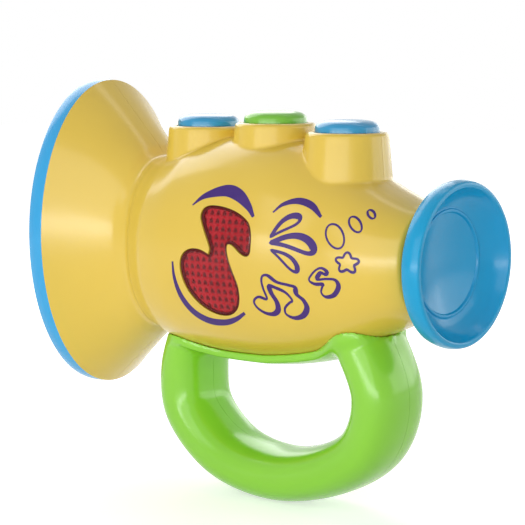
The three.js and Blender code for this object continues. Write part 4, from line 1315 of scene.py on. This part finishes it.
# %% One printed line
def print_line(path, widths, closed):
    """One printed line as a thin closed film on the skin: its points and faces."""
    across = outward(path) if closed else across_line(path)
    shares = np.linspace(-0.5, 0.5, pen_rows)
    flat = path[:, None] + across[:, None] * (shares[None, :, None] * widths[:, None, None])
    x, z = flat[..., 0], flat[..., 1]
    skin = side_surface(x, z)
    top = np.stack([x, skin - ink_height, z], axis=-1)
    under = np.stack([x, skin + ink_depth, z], axis=-1)
    section = np.concatenate([top, under[:, ::-1]], axis=1)
    return section.reshape(-1, 3), ring_faces(len(path), 2 * pen_rows, closed)


ink_points, ink_faces = [], []


def draw(path, widths, closed=False):
    """Adds one line to the print."""
    points, faces = print_line(path, widths, closed)
    start = sum(len(p) for p in ink_points)
    ink_points.append(points)
    ink_faces.extend(tuple(i + start for i in face) for face in faces)


# %% Crescents: lines that swell and run out to points
def crescent(places, heaviest, width, start, end):
    """A line through the places that swells up to its heaviest place, then thins to its end."""
    path = even_steps(smooth_line(np.array(places, float), 16), False)
    t = np.linspace(0, 1, len(path))
    rise = np.where(t < heaviest, t / heaviest, (1 - t) / (1 - heaviest))
    tip = np.where(t < heaviest, start, end)
    draw(path, tip + (width - tip) * np.sin(rise * math.pi / 2) ** 1.2)


over_lens = [(-16.4, 19.5), (-10.5, 23.6), (-0.5, 26.2), (6.5, 24.7), (12.4, 20.6), (15.8, 16.4)]
under_lens = [
    (-25.9, -4.9), (-25.4, -12.5), (-22.8, -20.7), (-17.9, -26.7), (-10.9, -29.7), (-2.9, -29.7),
    (3.8, -27.6), (9.3, -24.4),
]
over_drops = [(24.6, 18.6), (28.5, 22.0), (34.8, 23.6), (41.2, 21.9), (46.7, 17.8)]
crescent(over_lens, 0.6, 5.0, 0.6, 1.4)
crescent(under_lens, 0.5, 3.4, 0.9, 1.3)
crescent(over_drops, 0.62, 2.7, 0.7, 1.2)
print("crescents:", len(ink_points))

# %% Closed figures: lines that are heavier on one side
def loop(path, thin, thick, heavy_towards=0):
    """A closed line that is heaviest where it faces one way, in degrees."""
    path = even_steps(path, True)
    towards = math.radians(heavy_towards)
    facing = (1 + outward(path) @ [math.cos(towards), math.sin(towards)]) / 2
    draw(path, thin + (thick - thin) * facing**2, True)


# %% Drops, bubbles and a star
def drop(tip, end, width, bend):
    """A drop from its tip to its round end, bowed to one side."""
    tip, end = np.array(tip, float), np.array(end, float)
    t = np.linspace(0, 2 * math.pi, 90, endpoint=False)
    along = (1 - np.cos(t)) / 2
    out = width * 0.65 * np.sin(t) * np.abs(np.sin(t / 2)) ** 1.4 + bend * np.sin(math.pi * along)
    line = end - tip
    normal = np.array([-line[1], line[0]]) / np.linalg.norm(line)
    return tip + along[:, None] * line + out[:, None] * normal


def bubble(at, half_width, half_height, lean):
    """An oval that leans to one side."""
    t = np.linspace(0, 2 * math.pi, 60, endpoint=False)
    x, z = half_width * np.cos(t), half_height * np.sin(t)
    return np.column_stack([at[0] + x + lean * z, at[1] + z])


def soft_star(at, radius, wave, stretch):
    """A five-pointed star with round points, by one wave round a circle that starts at its top."""
    turn = np.linspace(0, 2 * math.pi, 120, endpoint=False)
    t = turn + math.pi / 2
    reach = radius * (1 + wave * np.cos(5 * turn))
    return np.column_stack([at[0] + stretch * reach * np.cos(t), at[1] + reach * np.sin(t)])


loop(drop((24.8, 8.6), (37.2, 17.0), 4.6, 1.0), 1.1, 2.6, 70)
loop(drop((24.9, 6.3), (45.4, 4.6), 6.2, 1.9), 1.6, 3.8, 20)
loop(drop((25.2, 3.4), (37.6, -4.2), 4.4, 0.9), 1.0, 2.5, -10)
loop(bubble((54.8, 10.7), 4.1, 4.7, -0.4), 0.85, 0.85)
loop(bubble((62.4, 15.7), 2.5, 2.9, -0.7), 0.8, 0.8)
loop(bubble((66.9, 19.7), 1.35, 1.6, -0.9), 0.75, 0.75)
loop(soft_star((61.5, 0.6), 3.4, 0.24, 1.3), 1.0, 1.2, -60)
print("figures:", len(ink_points))

# %% A pair of notes and a curl
note_pair = [
    (21.0, -7.6), (23.4, -7.2), (27.5, -9.6), (33.0, -10.5), (36.0, -11.2), (36.5, -14.0), (39.4, -16.4),
    (40.3, -19.6), (37.6, -23.0), (33.3, -24.5), (29.8, -23.3), (29.7, -20.6), (32.4, -18.0), (34.0, -16.8),
    (31.4, -13.8), (27.2, -12.2), (24.0, -11.6), (24.4, -14.4), (26.4, -18.2), (26.2, -21.6), (23.4, -23.6),
    (19.4, -23.3), (16.2, -21.2), (15.4, -18.6), (18.0, -16.6), (21.9, -17.2), (20.9, -13.2), (20.3, -9.8),
]
curl = [
    (49.6, -2.3), (52.0, -3.5), (51.2, -4.7), (48.9, -4.3), (47.2, -7.0), (51.6, -6.5), (55.8, -6.6),
    (57.2, -9.2), (54.6, -12.8), (50.6, -14.0), (48.6, -12.4), (49.4, -9.9), (50.2, -8.8), (45.8, -9.0),
    (43.2, -7.6), (44.8, -5.0), (47.2, -3.0),
]


def closed_line(places):
    """A smooth closed line through the places."""
    places = np.array(places, float)
    around = smooth_line(np.vstack([places[-1:], places, places[:2]]), 10)
    return around[10:-10]


loop(closed_line(note_pair), 1.0, 2.5, -20)
loop(closed_line(curl), 0.9, 2.2, -15)
print("lines:", len(ink_points))

# %% The ink itself
def ink_finish():
    """Pad-printing ink: satin purple, a little thin in places."""
    material, tree = new_material("purple_ink")
    thin = spread(tree, noise(tree, 130.0, 3.0), 0.4, 0.75, 0.0, 0.6)
    colour = mixed(tree, thin, linear("#38186E"), linear("#48267A"))
    surface(tree, {"Base Color": colour, "Roughness": 0.32, "IOR": 1.4})
    return material


ink = add_mesh("printed_figures", np.vstack(ink_points), ink_faces, ink_finish())
finish_piece(ink, "horn", "print_purple")

# %% [markdown]
# ## Inside the bell
# Down in the bell a blue grille covers the speaker. It is a moulded disc with rings of round holes,
# so we turn the disc and drill it. The paper cone behind it shows through the holes.

# %% The grille
grille_radius = 22.0
grille_thickness = 2.0
hole_radius = 1.9
hole_mouth = hole_radius + 0.4
hole_ring = 7.0
collar_wall = 1.2
collar_radius = speaker_hole_radius - gap
grille_low, grille_high = node_mm("bell_grille")
grille_face = grille_low[0]
grille_back = grille_face + grille_thickness
grille = turned("bell_grille_disc", softened([
    (0, grille_face, 0),
    (grille_radius * 0.8, grille_face, 60.0),
    (grille_radius - 0.6, grille_face + 0.35, 0.8),
    (grille_radius, grille_back - 0.4, 0.3),
    (grille_radius, grille_back, 0.1),
    (collar_radius, grille_back, 0.2),
    (collar_radius, grille_high[0], 0.3),
    (collar_radius - collar_wall, grille_high[0], 0.2),
    (collar_radius - collar_wall, grille_back, 0.2),
    (0, grille_back, 0),
], 6), "x", (0, 0, 0), cup_blue_plastic, 120)

# %% Holes in the grille
hole_places = [(0.0, 0.0)]
for ring in (1, 2):
    for i in range(6 * ring):
        turn = 2 * math.pi * i / (6 * ring)
        hole_places.append((ring * hole_ring * math.cos(turn), ring * hole_ring * math.sin(turn)))


def hole_tool(y, z):
    """A drill with a wide mouth, so that each hole has a soft edge."""
    return turned("tool", [
        (0, grille_face - 1),
        (hole_mouth + 1, grille_face - 1),
        (hole_mouth, grille_face),
        (hole_radius, grille_face + 0.45),
        (hole_radius, grille_back + 3),
        (0, grille_back + 3),
    ], "x", (0, y, z), cup_blue_plastic, 32)


carve(grille, [hole_tool(y, z) for y, z in hole_places])
finish_piece(grille, "horn", "blue_plastic", "bell_grille")

# %% The speaker's cone
def grained_finish(name, colour, deep, roughness, scale, relief, metallic=0.0):
    """A matt or metal surface: two close colours and a fine grain, by noise."""
    material, tree = new_material(name)
    grain = noise(tree, scale, 4.0, roughness=0.6)
    cloud = spread(tree, noise(tree, scale / 12), 0.35, 0.65, 0, 1)
    surface(tree, {
        "Base Color": mixed(tree, cloud, linear(colour), linear(deep)),
        "Roughness": spread(tree, grain, 0.3, 0.7, roughness - 0.06, roughness + 0.1),
        "Metallic": metallic,
        "Normal": bumped(tree, grain, relief),
    })
    return material


cone_paper = grained_finish("cone_paper", "#2A2A2D", "#1E1E21", 0.85, 900.0, 0.06)
cone_low, cone_high = node_mm("speaker_cone")
cone_front, cone_back, cone_edge = cone_low[0], cone_high[0], cone_high[2]
dust_cap = 6.0
cone = turned("speaker_cone_paper", [
    (0, cone_back - 1.6),
    (dust_cap * 0.4, cone_back - 1.5),
    (dust_cap * 0.75, cone_back - 1.1),
    (dust_cap, cone_back - 0.6),
    (cone_edge - 3.6, cone_front + 1.2),
    (cone_edge - 3.2, cone_front + 0.7),
    (cone_edge - 2.2, cone_front + 0.1),
    (cone_edge - 1.0, cone_front + 0.2),
    (cone_edge - 0.4, cone_front + 0.6),
    (cone_edge, cone_front + 0.6),
    (cone_edge, cone_front + 1.0),
    (cone_edge - 3.2, cone_front + 1.9),
    (dust_cap, cone_back),
    (0, cone_back - 0.9),
], "x", (0, 0, 0), cone_paper)
finish_piece(cone, "horn", "speaker_paper", "speaker_cone")

# %% [markdown]
# ## Screws
# Eight screws join the halves from behind, and one holds the battery door. Each is zinc-plated with a
# cross recess in a domed head. The recess is cut by two crossed wedges, as its punch would make it.

# %% Screws
zinc = grained_finish("zinc_plate", "#B9BCC0", "#A6A9AE", 0.34, 1400.0, 0.01, 1.0)
head_radius = 2.8
head_height = 2.0
shank_radius = 1.4
recess_half_length = 1.7
recess_half_width = 0.42
recess_depth = 1.3


def recess_tool(x, z, top, turn):
    """One wedge of the cross recess, smaller at its bottom than above the head."""
    bottom = (top - recess_depth, recess_half_length * 0.45, recess_half_width * 0.7)
    above = (top + 0.5, recess_half_length, recess_half_width)
    corners = []
    for y, reach, wide in (bottom, above):
        for a, b in ((-1, -1), (1, -1), (1, 1), (-1, 1)):
            along, across = reach * a, wide * b
            out_x = math.cos(turn) * along - math.sin(turn) * across
            out_z = math.sin(turn) * along + math.cos(turn) * across
            corners.append((x + out_x, y, z + out_z))
    return add_mesh("tool", corners, ring_faces(2, 4), zinc)


# %% Nine screws
def screw(node, body, turn):
    """A domed screw in a packed screw's place, with its cross turned as it was left."""
    low, high = node_mm(node)
    x, z = middle_mm(node)[[0, 2]]
    top, seat = high[1], high[1] - head_height
    made = turned(f"{node}_metal", softened([
        (0, top, 0),
        (head_radius * 0.55, top - 0.12, 4.0),
        (head_radius, top - head_height * 0.55, 0.8),
        (head_radius, seat, 0.1),
        (shank_radius, seat, 0.1),
        (shank_radius, low[1] + 1.5, 0.3),
        (0.15, low[1], 0),
        (0, low[1], 0),
    ], 5), "y", (x, 0, z), zinc, 40)
    carve(made, [recess_tool(x, z, top, turn), recess_tool(x, z, top, turn + math.pi / 2)])
    finish_piece(made, body, "steel", node)


for i in range(1, 6):
    screw(f"shell_screw_{i}", "horn", 0.7 * i)
for i in range(1, 4):
    screw(f"handle_screw_{i}", "horn", 1.1 * i)
screw("door_screw", "battery_door", 0.4)

# %% [markdown]
# ## The battery door
# The door is a piece of the same oval skin, so it is meshed from the horn's own field inside a
# rounded outline. It rides on its own body and lifts away with its screw.

# %% Door
door_edge = 0.5
door_boss_radius = 4.2
door_boss_height = 1.5
door_fillet = 0.5
door_voxel = 0.6
door_screw_x = middle_mm("door_screw")[0]
door_face = float(horn_size(door_screw_x, 3)[0])
door_seat = node_mm("door_screw")[1][1] - head_height - 0.05
door_middle = middle_mm("battery_door")
door_half = (door_high - door_low) / 2


def door_field(x, y, z):
    """The skin inside the door's outline, with a boss inside for its screw."""
    off_x = np.abs(x - door_middle[0]) - door_half[0] + door_corner
    off_z = np.abs(z - door_middle[2]) - door_half[2] + door_corner
    corner = np.sqrt(np.maximum(off_x, 0) ** 2 + np.maximum(off_z, 0) ** 2)
    edge = corner + np.minimum(np.maximum(off_x, off_z), 0) - door_corner
    skin = horn_field(x, y, z)
    plate = np.maximum(rounded(edge, skin, door_edge), -skin - wall)
    from_screw = axis_distance(x, z, (door_screw_x, 0))
    boss = np.maximum(from_screw - door_boss_radius, door_face - wall - door_boss_height - y)
    boss = np.maximum(boss, skin + wall / 2)
    made = filleted(plate, boss, door_fillet)
    hole = np.minimum(np.maximum(from_screw - screw_bore, door_seat - y), from_screw - shank_radius - gap)
    return np.maximum(np.maximum(made, -hole), cell_row - y)


door = add_skin(
    "battery_door_skin", door_field, door_low - 1.5, door_high + 1.5, door_voxel, yellow_plastic,
)
finish_piece(door, "battery_door", "yellow_plastic", "battery_door")

# %% [markdown]
# ## The battery box
# With the door off, two cells lie in a black tray between spring contacts. The jackets are plain. The
# springs are wound from wire, so a wire helper sweeps a round section along any path.

# %% Cells
steel_can = grained_finish("steel_can", "#C6C8CC", "#B4B7BC", 0.28, 1600.0, 0.005, 1.0)
jacket = grained_finish("cell_jacket_film", "#3A4048", "#333941", 0.3, 260.0, 0.01)
jacket_band = grained_finish("cell_band_film", "#B9BEC4", "#AEB3BA", 0.32, 260.0, 0.01)
cell_radius = 7.25
cell_length = 50.5
jacket_end = 49.2
jacket_hole = 6.4
band_start = 38.0
nub_radius = 2.75
# The cell from its flat end: (radius, place, rounding)
cell_corners = [
    (0, 0, 0),
    (5.6, 0, 0.3),
    (5.9, 0.35, 0.2),
    (cell_radius, 0.35, 0.4),
    (cell_radius, band_start, 0.1),
    (cell_radius, band_start + 0.3, 0.1),
    (cell_radius, jacket_end, 0.6),
    (5.4, jacket_end, 0.3),
    (nub_radius, jacket_end + 0.1, 0.3),
    (nub_radius, cell_length, 0.5),
    (0, cell_length, 0),
]
for node, nub_end in (("battery_upper", 1), ("battery_lower", -1)):
    y, z = middle_mm(node)[1:]
    start = node_mm(node)[0 if nub_end > 0 else 1][0]
    profile = [(r, start + nub_end * at) for r, at in softened(cell_corners, 6)]
    cell = turned(f"{node}_can", profile, "x", (0, y, z), jacket, 64)
    cell.data.materials.append(jacket_band)
    cell.data.materials.append(steel_can)
    for polygon in cell.data.polygons:
        at = (np.array(polygon.center) - centre) / mm
        out = math.hypot(at[1] - y, at[2] - z)
        along = (at[0] - start) * nub_end
        polygon.material_index = 2 if out < jacket_hole else int(along > band_start + 0.1)
    finish_piece(cell, "horn", "cell_jacket", node)

# %% Round wire
def wire(path, radius, sides=10):
    """Points and faces of a round wire along a path of points, in millimetres."""
    along = np.gradient(path, axis=0)
    along /= np.linalg.norm(along, axis=1)[:, None]
    axis = np.array([1.0, 0.0, 0.0])
    side = np.cross(along, axis)
    side /= np.maximum(np.linalg.norm(side, axis=1), 1e-6)[:, None]
    up = np.cross(side, along)
    turns = np.linspace(0, 2 * math.pi, sides, endpoint=False)
    points = path[:, None] + radius * (
        side[:, None] * np.cos(turns)[None, :, None] + up[:, None] * np.sin(turns)[None, :, None]
    )
    return points.reshape(-1, 3), ring_faces(len(path), sides)


# %% Contact springs
spring_wire = 0.35
spring_turns = 3.0
spring_foot = 3.4
spring_taper = 1.4
spring_steps = 100
contact_thickness = 0.6
contact_corner = 1.2
contact_inset = 5.8
for node, ups in (("contact_bridge", (-1, 1)), ("contact_plus", (1,)), ("contact_minus", (-1,))):
    low, high = node_mm(node)
    towards = 1 if node == "contact_bridge" else -1
    back_x, tip_x = (low[0], high[0]) if towards > 0 else (high[0], low[0])
    plate_x = sorted([back_x, back_x + towards * contact_thickness])
    outline = rounded_rectangle(low[1:], high[1:], contact_corner)
    rings = [np.column_stack([np.full(len(outline), at), outline]) for at in plate_x]
    points, faces = np.vstack(rings), ring_faces(2, len(outline))
    for up in ups:
        z = middle_mm(node)[2] if len(ups) == 1 else up * ((high[2] - low[2]) / 2 - contact_inset)
        t = np.linspace(0, 1, spring_steps)
        radius = spring_foot - spring_taper * t
        spun = 2 * math.pi * spring_turns * t
        start_x = back_x + towards * (contact_thickness + spring_wire * 0.6)
        helix_x = start_x + (tip_x - towards * spring_wire - start_x) * t
        path = np.column_stack([helix_x, cell_row + radius * np.cos(spun), z + radius * np.sin(spun)])
        coil_points, coil_faces = wire(path, spring_wire)
        faces += [tuple(i + len(points) for i in face) for face in coil_faces]
        points = np.vstack([points, coil_points])
    contact = add_mesh(f"{node}_metal", points, faces, zinc)
    finish_piece(contact, "horn", "steel", node)

# %% Switch knob
black_plastic = grained_finish("black_plastic", "#26282B", "#1E2023", 0.42, 700.0, 0.03)
plate_half_length = (knob_high[0] - knob_low[0]) / 2
plate_half_height = (knob_high[2] - knob_low[2]) / 2
ridge_depth = 0.45
ridge_count = 3
stem_half_length = 2.1
stem_half_height = 1.9
stem_foot = knob_low[1] + 0.4
stem_outline = [(knob_x + stem_half_length, stem_foot), (knob_x - stem_half_length, stem_foot)]
for share in np.linspace(0, 1, 25):
    dip = ridge_depth * (1 - math.cos(2 * math.pi * ridge_count * share)) / 2
    stem_outline.append((knob_x + stem_half_length * (2 * share - 1), knob_high[1] - dip))
stem_part = pushed(
    "switch_knob_grip", stem_outline, -stem_half_height, stem_half_height, "z", black_plastic,
)
plate_outline = rounded_rectangle(
    (knob_x - plate_half_length, -plate_half_height), (knob_x + plate_half_length, plate_half_height), 1.0,
)
plate_part = pushed("tool", plate_outline, knob_low[1], knob_low[1] + plate_thickness, "y", black_plastic)
carve(stem_part, [plate_part], "UNION")
bevel = stem_part.modifiers.new("edges", "BEVEL")
bevel.width = 0.15 * mm
bevel.segments = 2
bevel.limit_method = "ANGLE"
settle(stem_part)
finish_piece(stem_part, "switch_knob", "black_plastic", "switch_knob")

# %% [markdown]
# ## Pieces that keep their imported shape
# Boards, the light box and the speaker's frame are plain pieces deep inside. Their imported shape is
# right, so they keep it, and they only get a finish of their own.

# %% Finishes for the inner pieces
board_green = grained_finish("board_green", "#1F6B3A", "#1A5C33", 0.4, 300.0, 0.01)
white_plastic = grained_finish("white_plastic", "#E6E6E1", "#DCDCD6", 0.5, 600.0, 0.02)
lamp_red = moulded_plastic("lamp_red", "#C21B22", "#A81219", 0.12, 0.04)
inner_finishes = {
    board_green: ["key_board", "sound_board"],
    white_plastic: ["light_box"],
    black_plastic: ["sound_chip", "switch_body", "battery_tray"],
    zinc: ["speaker_frame", "speaker_magnet"],
    lamp_red: ["lamp_upper", "lamp_lower"],
}
for finish, nodes in inner_finishes.items():
    for node in nodes:
        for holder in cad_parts[node].material_slots:
            holder.material = finish
print("inner pieces:", sum(len(nodes) for nodes in inner_finishes.values()))

# %% [markdown]
# ## The rubber domes
# A key stands on a small bell of soft rubber, whose thin skirt buckles under a finger and springs
# back. We turn its profile with a real hollow inside.

# %% Rubber domes
dome_top_radius = 3.4
dome_foot = 1.0
dome_skirt = 0.8
dome_roof = 1.6
grey_rubber = grained_finish("grey_rubber", "#C3C7CA", "#B6BABE", 0.75, 1100.0, 0.02)
for key in key_nodes:
    node, joint = key.replace("key", "dome"), key.replace("key", "press")
    low, high = node_mm(node)
    middle_x = middle_mm(node)[0]
    foot_radius = (high[0] - low[0]) / 2
    hollow_top = high[2] - dome_foot - dome_roof
    dome = turned(f"{node}_rubber", softened([
        (0, high[2], 0),
        (dome_top_radius, high[2], 0.5),
        (dome_top_radius, high[2] - dome_foot, 0.6),
        (foot_radius - 0.6, low[2] + dome_foot, 0.5),
        (foot_radius, low[2] + dome_foot, 0.3),
        (foot_radius, low[2], 0.2),
        (foot_radius - 0.6 - dome_skirt, low[2], 0.3),
        (dome_top_radius - dome_skirt, hollow_top, 0.8),
        (0, hollow_top, 0),
    ]), "z", (middle_x, 0, 0), grey_rubber, 64)
    finish_piece(dome, "horn", "grey_rubber", node)
    foot = to_part((middle_x, 0, low[2]))
    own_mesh(dome)

# %% [markdown]
# ## Light and floor
# The photograph has the plain white of a light tent: large soft lights, no hard shadow. The floor and
# the backdrop are white to the eye and in reflections, but don't flood the toy with light.

# %% Soft boxes
def soft_box(name, azimuth, elevation, distance, width, height, brightness):
    """A soft box that faces the toy; its brightness is what a mirror would show, with white at 1."""
    data = bpy.data.lights.new(name, "AREA")
    data.shape = "RECTANGLE"
    data.size = width
    data.size_y = height
    data.energy = brightness * math.pi * width * height
    lamp = linked(name, data)
    out = direction(azimuth, elevation)
    lamp.location = out * distance
    face_the_toy(lamp, out)
    print(name, round(data.energy, 2), "W")


soft_box("front_box", 12, 20, 1.0, 1.2, 0.7, 1.55)
soft_box("low_box", 16, 1, 0.9, 1.5, 0.15, 5.4)
soft_box("side_box", 128, 14, 1.0, 0.8, 0.5, 1.7)
soft_box("left_box", -112, 36, 1.0, 1.2, 0.8, 2.3)
soft_box("back_box", 175, 12, 1.0, 1.2, 0.36, 1.6)
soft_box("top_strip", 180, 70, 1.0, 0.9, 0.14, 1.5)

# %% White for the camera, and in reflections
def shown_white(tree, plain, shown):
    """One strength for the light that falls on the toy, another for what is seen of the backdrop."""
    paths = add_node(tree, "ShaderNodeLightPath", {})
    seen = paths.outputs["Is Camera Ray"]
    for ray in ("Is Glossy Ray", "Is Transmission Ray"):
        seen = maths(tree, "MAXIMUM", seen, paths.outputs[ray])
    return spread(tree, seen, 0.0, 1.0, plain, shown)


white = (1.0, 1.0, 1.0, 1.0)
world = bpy.data.worlds.new("studio")
bpy.context.scene.world = world
world.use_nodes = True
world.node_tree.nodes.clear()
sky = add_node(world.node_tree, "ShaderNodeBackground", {
    "Color": white, "Strength": shown_white(world.node_tree, 0.15, 1.0),
})
add_node(world.node_tree, "ShaderNodeOutputWorld", {"Surface": sky.outputs["Background"]})

# %% The floor
floor_z = min(cad_box[0].z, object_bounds()[0].z)
floor_half = 3.0
floor_corners = [(floor_half * a, floor_half * b, floor_z) for a, b in ((-1, -1), (1, -1), (1, 1), (-1, 1))]
floor_mesh = bpy.data.meshes.new("floor")
floor_mesh.from_pydata(floor_corners, [], [(0, 1, 2, 3)])
floor = linked("floor", floor_mesh)
material, tree = new_material("floor")
pale = add_node(tree, "ShaderNodeBsdfDiffuse", {"Color": (0.85, 0.85, 0.85, 1.0)})
place = add_node(tree, "ShaderNodeTexCoord", {}).outputs["Object"]
out = add_node(tree, "ShaderNodeVectorMath", {0: place}, operation="LENGTH").outputs["Value"]
brighter_far_out = spread(tree, out, 0.3, 1.3, 0.55, 1.0)
glow = add_node(tree, "ShaderNodeEmission", {
    "Color": white, "Strength": shown_white(tree, 0.0, brighter_far_out),
})
both = add_node(tree, "ShaderNodeAddShader", {0: pale.outputs[0], 1: glow.outputs[0]})
add_node(tree, "ShaderNodeOutputMaterial", {"Surface": both.outputs[0]})
floor_mesh.materials.append(material)

# %% The look of the picture
bpy.context.scene.view_settings.view_transform = "Standard"
